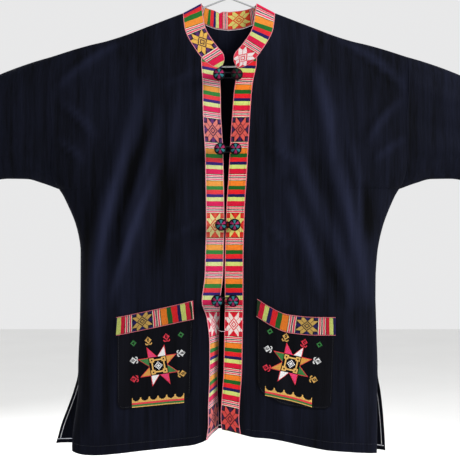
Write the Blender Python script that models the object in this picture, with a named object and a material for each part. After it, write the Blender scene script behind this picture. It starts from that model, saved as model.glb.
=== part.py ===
"""Embroidered dark cotton jacket with woven bands, hanging on a wire hanger.

Lengths are in millimetres until a mesh is written, which turns them into metres.
X runs to the right as the jacket's front is seen, Y runs to its back and Z runs up.
The origin is the inside top of the hanger's hook. The jacket's left and right are as seen.
"""
import math
from collections import namedtuple

import bmesh
import bpy
import numpy as np

MM = 0.001

# Cloth and seams
WALL = 1.5
COLLAR_WALL = 1.8
BAND_WALL = 1.0
POCKET_WALL = 1.2
GAP = 0.3
HALF_GAP = GAP / 2
BAND_WIDTH = 31.5

# Hanger
WIRE_RADIUS = 1.5
WIRE_SIDES = 8
APEX_Z = -79.5
ARM_SLOPE = math.tan(math.radians(21.0))
ARM_REACH = 196.0
BAR_Z = -200.0
END_BEND = 16.0
HOOK_RADIUS = 19.0
HOOK_CENTRE_Z = -17.5
HOOK_START = math.radians(-45.0)
HOOK_END = math.radians(200.0)
CLOTH_OVER_WIRE = 4.1

# Heights of the underarm and of the top of the side slits
UNDERARM_Z = -414.0
SLIT_Z = -732.0
SLIT_OPENING = 15.0
ARM_DEPTH_FRONT = 24.0
ARM_DEPTH_BACK = 20.0

# Ridge of the shoulder beyond the hanger's arm, by distance from the centre
Ridge = namedtuple("Ridge", "across height")
RIDGE = (
    Ridge(200.0, -152.1),
    Ridge(222.0, -157.0),
    Ridge(240.0, -161.0),
    Ridge(272.0, -170.0),
    Ridge(312.0, -183.0),
)

# Half widths of the body by height, for each panel's side edge
Outline = namedtuple("Outline", "height front_left front_right back_left back_right")
OUTLINE = (
    Outline(-878.0, 271.0, 257.0, 306.0, 276.0),
    Outline(-858.0, 274.0, 257.0, 304.5, 274.5),
    Outline(-830.0, 271.0, 258.0, 296.0, 273.0),
    Outline(-800.0, 267.0, 258.5, 284.5, 270.0),
    Outline(-769.0, 263.5, 259.0, 273.0, 266.0),
    Outline(-732.0, 264.0, 260.0, 264.0, 260.0),
    Outline(-660.0, 261.5, 258.0, 261.5, 258.0),
    Outline(-560.0, 260.0, 257.0, 260.0, 257.0),
    Outline(-512.0, 260.5, 261.5, 260.5, 261.5),
    Outline(-473.0, 269.0, 271.0, 269.0, 271.0),
    Outline(-440.0, 283.0, 284.0, 283.0, 284.0),
    Outline(-423.0, 291.5, 292.0, 291.5, 292.0),
    Outline(-414.0, 297.5, 297.5, 297.5, 297.5),
    Outline(-310.0, 306.0, 306.0, 306.0, 306.0),
    Outline(-235.0, 311.0, 311.0, 311.0, 311.0),
    Outline(-183.0, 312.0, 312.0, 312.0, 312.0),
)

# Front edges by height
Edge = namedtuple("Edge", "height left right")
EDGE = (
    Edge(-845.0, -22.0, -10.0),
    Edge(-812.0, -18.5, -14.0),
    Edge(-775.0, -20.5, -12.5),
    Edge(-735.0, -20.5, -9.5),
    Edge(-665.0, -18.0, -8.0),
    Edge(-605.0, -15.0, -7.0),
    Edge(-575.0, -10.8, -7.0),
    Edge(-540.0, -9.8, -7.0),
    Edge(-477.0, -8.0, -5.3),
    Edge(-440.0, -8.2, -4.0),
    Edge(-395.0, -9.0, -1.0),
    Edge(-345.0, -10.0, 1.5),
    Edge(-290.0, -13.0, 4.5),
    Edge(-225.0, -13.0, 9.0),
    Edge(-200.0, -14.0, 14.0),
)

# Width of each front band as seen from the front, where its edge turns back towards the wearer
Turn = namedtuple("Turn", "height left right")
TURN = (
    Turn(-850.0, 17.5, BAND_WIDTH),
    Turn(-812.0, 17.0, BAND_WIDTH),
    Turn(-786.0, 16.0, BAND_WIDTH),
    Turn(-750.0, 13.5, BAND_WIDTH),
    Turn(-700.0, 14.5, BAND_WIDTH),
    Turn(-657.0, 17.0, BAND_WIDTH),
    Turn(-637.0, 21.0, BAND_WIDTH),
    Turn(-620.0, 29.0, BAND_WIDTH),
    Turn(-609.0, BAND_WIDTH, BAND_WIDTH),
    Turn(-200.0, BAND_WIDTH, BAND_WIDTH),
)
TURN_FORWARD = 0.24
TURN_REACH = 35.0

# Neck seam from the front edge to the shoulder, and from the centre back to the shoulder
Neck = namedtuple("Neck", "across height")
NECK_FRONT = (
    Neck(16.0, -206.0),
    Neck(27.0, -203.0),
    Neck(38.0, -196.5),
    Neck(48.0, -187.0),
    Neck(61.0, -168.5),
    Neck(70.5, -153.0),
    Neck(78.0, -133.5),
    Neck(80.8, -109.4),
    Neck(81.0, None),
)
NECK_BACK = (
    Neck(0.0, -134.5),
    Neck(22.0, -132.0),
    Neck(42.0, -125.0),
    Neck(60.0, -117.0),
    Neck(72.0, -112.0),
    Neck(80.6, -109.2),
    Neck(81.0, None),
)
SHOULDER_SHARES = (0.14, 0.29, 0.44, 0.59, 0.74, 0.87, 0.96, 0.992, 1.0)

# Hem heights across the front and the back
Hem = namedtuple("Hem", "across height")
HEM_FRONT = (
    Hem(-272.0, -869.0),
    Hem(-258.0, -873.0),
    Hem(-231.0, -873.5),
    Hem(-196.0, -870.0),
    Hem(-150.0, -864.0),
    Hem(-93.0, -857.5),
    Hem(-54.0, -852.0),
    Hem(-40.0, -845.0),
    Hem(-29.0, -834.0),
    Hem(-21.0, -828.5),
    Hem(-8.0, -827.0),
    Hem(12.0, -832.5),
    Hem(40.0, -840.5),
    Hem(66.0, -842.5),
    Hem(90.0, -846.5),
    Hem(142.0, -858.5),
    Hem(172.0, -864.0),
    Hem(257.0, -872.0),
)
HEM_BACK = (
    Hem(-305.0, -861.0),
    Hem(-200.0, -866.0),
    Hem(-120.0, -862.0),
    Hem(-60.0, -848.0),
    Hem(-10.0, -836.0),
    Hem(40.0, -846.0),
    Hem(110.0, -864.0),
    Hem(200.0, -872.0),
    Hem(276.0, -874.0),
)

# Depth of the outer cloth before and behind the shoulder's ridge, by drop below it
Depth = namedtuple("Depth", "drop front back")
DEPTH = (
    Depth(0.0, 0.0, 0.0),
    Depth(0.6, 1.9, 1.9),
    Depth(2.2, 3.3, 3.3),
    Depth(5.0, 4.3, 4.3),
    Depth(14.0, 7.0, 6.5),
    Depth(50.0, 15.0, 12.5),
    Depth(100.0, 22.0, 18.0),
    Depth(200.0, 31.0, 27.0),
    Depth(400.0, 38.0, 33.0),
    Depth(700.0, 44.0, 38.0),
    Depth(810.0, 45.0, 39.0),
)

# Largest folds: a bowed line on a panel, its rise outward (less than 0 is a trough) and its reach
Fold = namedtuple("Fold", "panel x_top z_top x_low z_low bow rise reach")
FOLDS = (
    Fold("front", -150.0, -215.0, -243.0, -690.0, -12.0, 8.0, 17.0),
    Fold("front", -121.0, -275.0, -208.0, -620.0, -4.0, 7.0, 15.0),
    Fold("front", -208.0, -395.0, -247.0, -640.0, -6.0, 6.0, 14.0),
    Fold("front", -143.0, -300.0, -215.0, -560.0, -4.0, -5.0, 14.0),
    Fold("front", -100.0, -330.0, -140.0, -570.0, 3.0, -4.0, 16.0),
    Fold("front", 75.0, -225.0, 88.0, -400.0, 2.0, 4.5, 14.0),
    Fold("front", 142.0, -195.0, 176.0, -370.0, 3.0, 6.0, 15.0),
    Fold("front", 105.0, -345.0, 213.0, -625.0, 6.0, 8.0, 16.0),
    Fold("front", 166.0, -335.0, 240.0, -625.0, 5.0, 8.0, 15.0),
    Fold("front", 93.0, -400.0, 146.0, -595.0, 3.0, 5.0, 14.0),
    Fold("front", 133.0, -355.0, 190.0, -620.0, 4.0, -5.0, 14.0),
    Fold("back", -162.0, -225.0, -236.0, -700.0, -8.0, 7.5, 18.0),
    Fold("back", -96.0, -260.0, -118.0, -800.0, 6.0, 6.0, 19.0),
    Fold("back", -30.0, -215.0, -22.0, -780.0, -5.0, 5.0, 18.0),
    Fold("back", 62.0, -240.0, 92.0, -815.0, 7.0, 6.5, 19.0),
    Fold("back", 150.0, -220.0, 226.0, -720.0, 9.0, 7.5, 18.0),
    Fold("back", -130.0, -330.0, -176.0, -760.0, 4.0, -5.0, 17.0),
    Fold("back", 112.0, -300.0, 158.0, -790.0, 3.0, -5.0, 17.0),
)

# Sleeve sections from the seam to the cuff: ends of each section and its depths
Sleeve = namedtuple("Sleeve", "top_x top_z low_x low_z front back")
SLEEVE = (
    Sleeve(338.0, -190.5, 327.0, -403.5, 23.5, 19.5),
    Sleeve(376.0, -203.5, 354.0, -396.5, 22.5, 19.0),
    Sleeve(422.0, -222.5, 387.0, -396.0, 21.5, 18.0),
    Sleeve(470.0, -246.0, 426.0, -403.0, 20.0, 17.0),
    Sleeve(520.0, -273.0, 468.0, -419.0, 19.0, 16.0),
    Sleeve(568.0, -302.0, 510.0, -440.0, 18.0, 15.0),
    Sleeve(612.0, -331.0, 549.0, -465.0, 17.0, 14.0),
)

# Collar's top edge from its foot, at each foot point of the front and of the back
Lean = namedtuple("Lean", "inward back up")
COLLAR_FRONT = (
    Lean(4.0, 0.5, 3.0),
    Lean(19.0, 3.0, 11.5),
    Lean(28.0, 5.5, 17.5),
    Lean(28.5, 7.0, 20.0),
    Lean(29.0, 7.0, 19.0),
    Lean(31.5, 6.0, 16.0),
    Lean(34.5, 3.0, 12.0),
    Lean(33.0, 0.0, 17.5),
    Lean(33.0, 0.0, 17.5),
)
COLLAR_BACK = (
    Lean(0.0, -1.0, 33.0),
    Lean(0.5, -1.0, 32.5),
    Lean(4.0, -1.5, 29.0),
    Lean(14.0, -2.0, 25.0),
    Lean(25.0, -2.0, 21.5),
    Lean(33.0, 0.0, 18.0),
)
COLLAR_ROWS = 4
COLLAR_BEVEL = 1.4

# Pockets: height of the mouth across, and the patch's sides and corners below that line
Mouth = namedtuple("Mouth", "across height")
MOUTH_LEFT = (Mouth(-193.0, -635.5), Mouth(-126.0, -621.5), Mouth(-60.0, -607.0))
MOUTH_RIGHT = (
    Mouth(47.0, -602.5),
    Mouth(70.0, -617.0),
    Mouth(93.0, -628.0),
    Mouth(122.0, -633.0),
    Mouth(184.0, -635.5),
)
Corner = namedtuple("Corner", "across below")
POCKET_LEFT = (
    Corner(-192.0, -8.0),
    Corner(-191.5, -148.0),
    Corner(-183.0, -160.0),
    Corner(-76.0, -167.0),
    Corner(-66.0, -158.0),
    Corner(-61.0, -8.0),
)
POCKET_RIGHT = (
    Corner(48.0, -8.0),
    Corner(49.0, -142.0),
    Corner(57.0, -155.0),
    Corner(166.0, -157.0),
    Corner(176.0, -146.0),
    Corner(182.0, -8.0),
)
POCKET_BAND_LEFT = (
    Corner(-193.0, 0.0),
    Corner(-193.0, -BAND_WIDTH),
    Corner(-59.5, -BAND_WIDTH),
    Corner(-61.5, 0.0),
)
POCKET_BAND_RIGHT = (
    Corner(48.5, 0.0),
    Corner(47.0, -BAND_WIDTH),
    Corner(183.0, -BAND_WIDTH),
    Corner(183.0, 0.0),
)

# Ball buttons in pairs, and the cord round each pair's shanks
Pair = namedtuple("Pair", "height left right")
PAIRS = (
    Pair(-218.5, -17.0, 13.5),
    Pair(-347.0, -15.0, 11.3),
    Pair(-476.5, -13.5, 9.5),
    Pair(-606.0, -20.0, 7.0),
)
BUTTON_RADIUS = 10.5
BUTTON_SIDES = 10
SHANK_RADIUS = 3.0
SHANK_HEIGHT = 3.6
CORD_RADIUS = 1.2
CORD_ROUND = SHANK_RADIUS + CORD_RADIUS + GAP

Look = namedtuple("Look", "red green blue roughness metallic")
COTTON = Look(0.012, 0.015, 0.024, 0.9, 0.0)
WOVEN = Look(0.75, 0.06, 0.10, 0.85, 0.0)
THREAD = Look(0.02, 0.05, 0.06, 0.8, 0.0)
CORD = Look(0.01, 0.01, 0.012, 0.8, 0.0)
COATED_WIRE = Look(0.75, 0.76, 0.76, 0.35, 0.0)


def clear_scene():
    for item in list(bpy.data.objects):
        bpy.data.objects.remove(item, do_unlink=True)


def material(name, look):
    made = bpy.data.materials.get(name)
    if made is None:
        made = bpy.data.materials.new(name)
        made.use_nodes = True
        shader = made.node_tree.nodes["Principled BSDF"]
        shader.inputs["Base Color"].default_value = (look.red, look.green, look.blue, 1.0)
        shader.inputs["Roughness"].default_value = look.roughness
        shader.inputs["Metallic"].default_value = look.metallic
    return made


def add_mesh(name, points, faces, look_name, look):
    mesh = bpy.data.meshes.new(name)
    mesh.from_pydata([tuple(float(c) * MM for c in point) for point in points], [], faces)
    mesh.validate()
    mesh.materials.append(material(look_name, look))
    mesh.shade_smooth()
    mesh.set_sharp_from_angle(angle=math.radians(40.0))
    made = bpy.data.objects.new(name, mesh)
    bpy.context.collection.objects.link(made)
    return made


def table_value(table, column, at):
    """Straight runs between the rows of a table keyed by its first column."""
    keys = [row[0] for row in table]
    values = [getattr(row, column) for row in table]
    return float(np.interp(at, keys, values))


def curve_value(table, column, at):
    """A smooth curve through the rows of a table keyed by its first column."""
    keys = np.array([row[0] for row in table])
    values = np.array([getattr(row, column) for row in table])
    at = min(max(at, keys[0]), keys[-1])
    slopes = np.gradient(values, keys)
    low = min(int(np.searchsorted(keys, at, side="right")) - 1, len(keys) - 2)
    span = keys[low + 1] - keys[low]
    t = (at - keys[low]) / span
    rise = values[low] * (1 + 2 * t) * (1 - t) ** 2
    rise += slopes[low] * span * t * (1 - t) ** 2
    rise += values[low + 1] * t * t * (3 - 2 * t)
    rise += slopes[low + 1] * span * t * t * (t - 1)
    return float(rise)


def ridge_height(x):
    """Top of the shoulder: along the hanger's arm, then down to the sleeve seam."""
    across = abs(x)
    if across <= RIDGE[0].across:
        lift = CLOTH_OVER_WIRE / math.cos(math.atan(ARM_SLOPE))
        return APEX_Z - ARM_SLOPE * across + lift
    return table_value(RIDGE, "height", across)


def fold_rise(panel, x, z):
    total = 0.0
    for fold in FOLDS:
        if fold.panel != panel:
            continue
        run = np.array([fold.x_low - fold.x_top, fold.z_low - fold.z_top])
        length = float(np.hypot(*run))
        run = run / length
        away = np.array([x - fold.x_top, z - fold.z_top])
        t = float(away @ run) / length
        if t <= 0.0 or t >= 1.0:
            continue
        aside = float(away[0] * -run[1] + away[1] * run[0])
        aside -= fold.bow * 4.0 * t * (1.0 - t)
        ends = math.sin(math.pi * t) ** 0.7
        total += fold.rise * ends * math.exp(-(aside / fold.reach) ** 2)
    return total


def arm_lens(drop, z):
    """Roundness of the armhole at a height, from 0 at its ends to 1 halfway."""
    share = min(drop / (drop + z - UNDERARM_Z), 1.0)
    return math.sqrt(max(0.0, 1.0 - abs(2.0 * share - 1.0) ** 2.6))


def edge_depth(panel, drop, z):
    """Depth of the cloth at the armhole, the side seam and the side slit."""
    if z > UNDERARM_Z:
        full = ARM_DEPTH_FRONT if panel == "front" else ARM_DEPTH_BACK
        return full * arm_lens(drop, z)
    if z > SLIT_Z:
        return 0.0
    share = (SLIT_Z - z) / (SLIT_Z - HEM_FRONT[0].height)
    return SLIT_OPENING * min(share, 1.0) ** 0.8


def seen_width(name, z):
    return min(curve_value(TURN, name, z), BAND_WIDTH)


def turn_back(x, z):
    """How far the left front's edge lies behind the panel, with the cloth beside it a little before it."""
    edge = curve_value(EDGE, "left", z)
    if x > (edge + curve_value(EDGE, "right", z)) / 2.0:
        return 0.0
    width = seen_width("left", z)
    depth = math.sqrt(BAND_WIDTH ** 2 - width ** 2)
    place = (x - edge + width) / width
    if place < 0.0:
        return -depth * TURN_FORWARD * math.exp(-(place * width / TURN_REACH) ** 2)
    return depth * (min(place, 1.0) - TURN_FORWARD)


def cloth_y(panel, x, z, side_x):
    """Outer face of a body panel at a place, where side_x is its side edge at that height."""
    drop = max(0.0, ridge_height(x) - z)
    deep = table_value(DEPTH, panel, drop)
    share = min(abs(x) / abs(side_x), 1.0)
    fullness = math.sqrt(max(0.0, 1.0 - share ** 4))
    edge = edge_depth(panel, drop, z)
    fold = fold_rise(panel, x, z) * fullness * min(1.0, drop / 60.0)
    deep = edge + (deep - edge) * fullness + fold
    if panel == "front":
        deep -= turn_back(x, z)
    deep = max(deep, HALF_GAP)
    return -deep if panel == "front" else deep


def row_heights(top, hem):
    """Heights of a column's points: close over the shoulder, underarm and slit, even between."""
    heights = [top - drop for drop in (0.0, 0.6, 2.2, 5.0, 14.0)]
    start = heights[-1]
    for share in (0.15, 0.32, 0.49, 0.66, 0.82, 0.92, 0.98, 1.0):
        heights.append(start + (UNDERARM_Z - start) * share)
    for share in (0.03, 0.09, 0.19, 0.33, 0.47, 0.61, 0.70, 0.84, 1.0):
        heights.append(UNDERARM_Z + (SLIT_Z - UNDERARM_Z) * share)
    for share in (0.25, 0.5, 0.75, 1.0):
        heights.append(SLIT_Z + (hem - SLIT_Z) * share)
    return heights


UNDERARM_ROW = 12
SLIT_ROW = 21


def spread(count):
    """Shares across a panel, closer together towards its side edge."""
    shares = [1.0 - (1.0 - i / count) ** 1.3 for i in range(count)]
    return shares + [0.988, 1.0]


def shoulder_tops(neck, seam_x):
    """Distance and height of each column's top, from the neck to the sleeve seam."""
    tops = []
    for row in neck:
        height = ridge_height(row.across) if row.height is None else row.height
        tops.append((row.across, height))
    neck_x = neck[-1].across
    for share in SHOULDER_SHARES:
        across = neck_x + (seam_x - neck_x) * share
        tops.append((across, ridge_height(across)))
    return tops


def column_line(tops, place, hem_table, mirror):
    """Points of one column as (x, z), falling from its top to the hem."""
    top_x, top_z = tops
    top_x = top_x * mirror
    shift = top_x - place(top_z)
    hem_x = place(hem_table[0].height)
    hem = table_value(hem_table, "height", hem_x)
    line = []
    for z in row_heights(top_z, hem):
        fade = math.exp(-((top_z - z) / 70.0) ** 1.5)
        line.append((place(z) + shift * fade, z))
    return line


def front_grid(name):
    """Outer points of a front panel by row and column, from the front edge to the side."""
    mirror = -1.0 if name == "left" else 1.0
    column_name = "front_" + name
    tops = shoulder_tops(NECK_FRONT, RIDGE[-1].across)
    shares = spread(len(tops) - 5)
    columns = []
    for k, top in enumerate(tops):
        def place(z, k=k):
            edge = curve_value(EDGE, name, z)
            width = seen_width(name, z)
            if k <= 3:
                return edge + mirror * width * k / 3.0
            start = edge + mirror * width
            side = mirror * curve_value(OUTLINE, column_name, z)
            return start + (side - start) * shares[k - 3]
        columns.append(column_line(top, place, HEM_FRONT, mirror))
    return lift_grid("front", columns, column_name, mirror)


def back_half(name):
    """Outer points of half of the back by row and column, from its centre to the side."""
    mirror = -1.0 if name == "left" else 1.0
    column_name = "back_" + name
    tops = shoulder_tops(NECK_BACK, RIDGE[-1].across)
    shares = spread(len(tops) - 2)
    columns = []
    for k, top in enumerate(tops):
        def place(z, k=k):
            return mirror * curve_value(OUTLINE, column_name, z) * shares[k]
        columns.append(column_line(top, place, HEM_BACK, mirror))
    return lift_grid("back", columns, column_name, mirror)


def lift_grid(panel, columns, column_name, mirror):
    rows = len(columns[0])
    grid = np.zeros((rows, len(columns), 3))
    for k, line in enumerate(columns):
        for r, (x, z) in enumerate(line):
            side_x = mirror * curve_value(OUTLINE, column_name, z)
            grid[r, k] = (x, cloth_y(panel, x, z, side_x), z)
    return grid


def grid_normals(grid, towards):
    """Unit normals of a grid, turned so that their mean runs the given way."""
    down = np.gradient(grid, axis=0)
    across = np.gradient(grid, axis=1)
    normals = np.cross(across, down)
    normals /= np.maximum(np.linalg.norm(normals, axis=2, keepdims=True), 1e-9)
    if float((normals * np.array(towards)).sum()) < 0.0:
        normals = -normals
    return normals


def unit(vector):
    vector = np.asarray(vector, dtype=float)
    return vector / np.linalg.norm(vector)


def seam_normals(normals, side_column, sign, ridge_columns):
    """Square the wall to its seams at the shoulder, armhole, side and underarm."""
    for k in ridge_columns:
        turned = normals[0, k].copy()
        turned[1] = 0.0
        turned[2] = max(turned[2], 0.5)
        normals[0, k] = unit(turned)
    for r in range(UNDERARM_ROW):
        turned = normals[r, side_column].copy()
        turned[0] = 0.0
        normals[r, side_column] = unit(turned)
    normals[0, side_column] = (0.0, 0.0, 1.0)
    normals[UNDERARM_ROW, side_column] = (0.0, 0.0, -1.0)
    for r in range(UNDERARM_ROW + 1, SLIT_ROW + 1):
        normals[r, side_column] = (sign, 0.0, 0.0)


def grid_triangles(rows, columns, closed=False):
    """Two triangles in each cell of a grid, with the last column joined to the first if closed."""
    faces = []
    last = columns if closed else columns - 1
    for r in range(rows - 1):
        for k in range(last):
            a = r * columns + k
            b = r * columns + (k + 1) % columns
            c = a + columns
            d = b + columns
            faces.append((a, b, d))
            faces.append((a, d, c))
    return faces


def outward(points, faces, normals):
    """Faces wound so that they face along their points' normals."""
    wound = []
    flips = 0
    for face in faces:
        a, b, c = (points[i] for i in face[:3])
        way = np.cross(b - a, c - a) @ (normals[face[0]] + normals[face[1]] + normals[face[2]])
        flips += 1 if way < 0.0 else -1
    for face in faces:
        wound.append(tuple(reversed(face)) if flips > 0 else face)
    return wound


def add_wall(name, points, faces, normals, near, far, look_name, look, slant=0.0):
    """A closed wall between two layers of a surface, moved along its normals by near and far.

    The near layer is also moved by slant, which bevels the wall where two walls meet.
    """
    faces = outward(points, faces, normals)
    count = len(points)
    outer = points + normals * far
    inner = points + normals * near + slant
    solid = list(faces)
    solid += [tuple(count + i for i in reversed(face)) for face in faces]
    edges = {}
    for face in faces:
        for i, start in enumerate(face):
            edges[(start, face[(i + 1) % len(face)])] = True
    for start, end in edges:
        if (end, start) not in edges:
            solid.append((end, start, count + start))
            solid.append((end, count + start, count + end))
    return add_mesh(name, np.vstack((outer, inner)), solid, look_name, look)


def add_front(name, grid, normals):
    rows, columns, _ = grid.shape
    faces = grid_triangles(rows, columns)
    add_wall("front_" + name, grid.reshape(-1, 3), faces, normals.reshape(-1, 3),
             -WALL, 0.0, "cotton_" + name, COTTON)


def add_front_band(name, grid, normals):
    """The woven band on the front edge: the panel's first columns, moved out."""
    band = grid[:, :4].reshape(-1, 3)
    band_normals = normals[:, :4].reshape(-1, 3)
    faces = grid_triangles(grid.shape[0], 4)
    add_wall("front_band_" + name, band, faces, band_normals,
             GAP, GAP + BAND_WALL, "woven_band_" + name, WOVEN)


def add_back(left, right):
    """The back, from its left half's side to its right half's side."""
    grid = np.concatenate((left[:, :0:-1], right), axis=1)
    normals = grid_normals(grid, (0.0, 1.0, 0.0))
    width = grid.shape[1]
    neck = len(NECK_BACK) - 1
    middle = left.shape[1] - 1
    on_ridge = [k for k in range(width) if abs(k - middle) >= neck]
    seam_normals(normals, 0, -1.0, on_ridge)
    seam_normals(normals, width - 1, 1.0, on_ridge)
    faces = grid_triangles(grid.shape[0], width)
    add_wall("back", grid.reshape(-1, 3), faces, normals.reshape(-1, 3),
             -WALL, 0.0, "cotton_back", COTTON)
    return grid


def add_sleeve(name, front_column, back_column):
    """A tube from the armhole to the cuff, its first ring on the body panels' armhole points."""
    mirror = -1.0 if name == "left" else 1.0
    front = front_column[:UNDERARM_ROW + 1]
    back = back_column[:UNDERARM_ROW + 1]
    ring = [front[0] * (1.0, 0.0, 1.0)]
    ring += [point for point in front[1:-1]]
    ring += [front[-1] * (1.0, 0.0, 1.0)]
    ring += [point for point in back[-2:0:-1]]
    ring = np.array(ring)
    ring[:, 0] += mirror * GAP
    top_z = ring[0, 2]
    low_z = ring[len(front) - 1, 2]
    shares = (top_z - ring[:, 2]) / (top_z - low_z)
    fullness = np.where(ring[:, 1] < 0.0, -ring[:, 1] / ARM_DEPTH_FRONT, ring[:, 1] / ARM_DEPTH_BACK)
    sections = [ring]
    for row in SLEEVE:
        depth = np.where(ring[:, 1] < 0.0, -row.front, row.back) * fullness
        section = np.zeros_like(ring)
        section[:, 0] = mirror * (row.top_x + (row.low_x - row.top_x) * shares)
        section[:, 1] = depth
        section[:, 2] = row.top_z + (row.low_z - row.top_z) * shares
        sections.append(section)
    grid = np.array(sections)
    closed = np.concatenate((grid[:, -1:], grid, grid[:, :1]), axis=1)
    normals = grid_normals(closed, (0.0, 0.0, 0.0))[:, 1:-1]
    middle = grid.mean(axis=1, keepdims=True)
    if float(((grid - middle) * normals).sum()) < 0.0:
        normals = -normals
    normals[0, :, 0] = 0.0
    normals[0] /= np.linalg.norm(normals[0], axis=1, keepdims=True)
    faces = grid_triangles(grid.shape[0], grid.shape[1], closed=True)
    add_wall("sleeve_" + name, grid.reshape(-1, 3), faces, normals.reshape(-1, 3),
             -WALL, 0.0, "cotton_sleeve_" + name, COTTON)


def collar_side(neck_points, leans, mirror):
    """Foot and top of the collar at each neck point of one side."""
    feet = []
    tops = []
    for point, lean in zip(neck_points, leans):
        foot = np.array(point)
        top = foot + np.array([-mirror * lean.inward, lean.back, lean.up])
        feet.append(foot)
        tops.append(top)
    return feet, tops


def add_collar(left, right, back, back_middle):
    """The stand collar, from its left front end round the back to its right front end."""
    neck = len(NECK_FRONT)
    back_neck = len(NECK_BACK)
    left_feet, left_tops = collar_side([left[0, k] for k in range(neck)], COLLAR_FRONT, -1.0)
    right_feet, right_tops = collar_side([right[0, k] for k in range(neck)], COLLAR_FRONT, 1.0)
    behind_left = [back[0, back_middle - k] for k in range(back_neck - 2, -1, -1)]
    behind_right = [back[0, back_middle + k] for k in range(1, back_neck - 1)]
    behind_leans = COLLAR_BACK[::-1]
    back_left_feet, back_left_tops = collar_side(behind_left, behind_leans, -1.0)
    back_right_feet, back_right_tops = collar_side(behind_right, COLLAR_BACK[1:], 1.0)
    feet = left_feet + back_left_feet + back_right_feet + right_feet[::-1]
    tops = left_tops + back_left_tops + back_right_tops + right_tops[::-1]
    feet = np.array(feet)
    tops = np.array(tops)
    grid = np.zeros((COLLAR_ROWS, len(feet), 3))
    rise = tops - feet
    length = np.linalg.norm(rise, axis=1, keepdims=True)
    start = feet + rise / length * GAP * 1.6
    for r in range(COLLAR_ROWS):
        grid[r] = start + (tops - start) * r / (COLLAR_ROWS - 1)
    normals = grid_normals(grid, (0.0, 0.0, 0.0))
    centre = np.array([0.0, 0.0, grid[:, :, 2].mean()])
    if float(((grid - centre) * normals * (1.0, 1.0, 0.0)).sum()) < 0.0:
        normals = -normals
    faces = grid_triangles(COLLAR_ROWS, len(feet))
    slant = np.zeros_like(grid)
    slant[0] = rise / length * COLLAR_BEVEL
    add_wall("collar", grid.reshape(-1, 3), faces, normals.reshape(-1, 3),
             -COLLAR_WALL, 0.0, "woven_collar", WOVEN, slant.reshape(-1, 3))


def add_patch(name, grid, outline, mouth, near, thick, look_name, look):
    """A patch cut from a panel's own facets inside an outline below the mouth's line, moved out."""
    work = bmesh.new()
    rows, columns, _ = grid.shape
    for x, y, z in grid.reshape(-1, 3):
        work.verts.new((x, y, z - curve_value(mouth, "height", x)))
    work.verts.ensure_lookup_table()
    for face in grid_triangles(rows, columns):
        work.faces.new([work.verts[i] for i in face])
    middle_x = sum(corner.across for corner in outline) / len(outline)
    middle_z = sum(corner.below for corner in outline) / len(outline)
    for i, corner in enumerate(outline):
        after = outline[(i + 1) % len(outline)]
        side = np.array([after.below - corner.below, 0.0, corner.across - after.across])
        inside = np.array([middle_x - corner.across, 0.0, middle_z - corner.below])
        if float(side @ inside) > 0.0:
            side = -side
        parts = list(work.verts) + list(work.edges) + list(work.faces)
        bmesh.ops.bisect_plane(work, geom=parts, dist=0.05, plane_co=(corner.across, 0.0, corner.below),
                               plane_no=tuple(unit(side)), clear_outer=True)
    bmesh.ops.triangulate(work, faces=list(work.faces))
    bmesh.ops.dissolve_degenerate(work, dist=0.4, edges=list(work.edges))
    bmesh.ops.triangulate(work, faces=list(work.faces))
    for vert in work.verts:
        vert.co.z += curve_value(mouth, "height", vert.co.x)
    work.normal_update()
    work.verts.index_update()
    points = np.array([tuple(vert.co) for vert in work.verts])
    normals = np.array([tuple(vert.normal) for vert in work.verts])
    faces = [tuple(vert.index for vert in face.verts) for face in work.faces]
    work.free()
    if float(normals[:, 1].sum()) > 0.0:
        normals = -normals
    add_wall(name, points, faces, normals, near, near + thick, look_name, look)


def add_tube(name, path, radius, sides, closed, look_name, look):
    """A round wire along a list of points."""
    path = np.array(path, dtype=float)
    if closed:
        runs = np.roll(path, -1, axis=0) - np.roll(path, 1, axis=0)
    else:
        runs = np.gradient(path, axis=0)
    runs /= np.linalg.norm(runs, axis=1, keepdims=True)
    up = np.array([0.0, 1.0, 0.0]) if abs(runs[:, 1]).max() < 0.7 else np.array([0.0, 0.0, 1.0])
    points = []
    for place, run in zip(path, runs):
        side = unit(np.cross(run, up))
        other = unit(np.cross(side, run))
        for i in range(sides):
            turn = 2.0 * math.pi * i / sides
            points.append(place + radius * (side * math.cos(turn) + other * math.sin(turn)))
    faces = []
    count = len(path)
    for s in range(count if closed else count - 1):
        for i in range(sides):
            a = s * sides + i
            b = s * sides + (i + 1) % sides
            c = ((s + 1) % count) * sides + i
            d = ((s + 1) % count) * sides + (i + 1) % sides
            faces.append((a, b, d, c))
    if not closed:
        faces.append(tuple(reversed(range(sides))))
        faces.append(tuple(range((count - 1) * sides, count * sides)))
    made = add_mesh(name, points, faces, look_name, look)
    face_out(made)


def face_out(made):
    work = bmesh.new()
    work.from_mesh(made.data)
    bmesh.ops.recalc_face_normals(work, faces=list(work.faces))
    if work.calc_volume(signed=True) < 0.0:
        bmesh.ops.reverse_faces(work, faces=list(work.faces))
    work.to_mesh(made.data)
    work.free()


def bend(centre, radius, start, end, steps):
    """Points of an arc in the XZ plane, with its angles in degrees from +X towards +Z."""
    points = []
    for i in range(steps + 1):
        turn = math.radians(start + (end - start) * i / steps)
        points.append((centre[0] + radius * math.cos(turn), 0.0, centre[1] + radius * math.sin(turn)))
    return points


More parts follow.
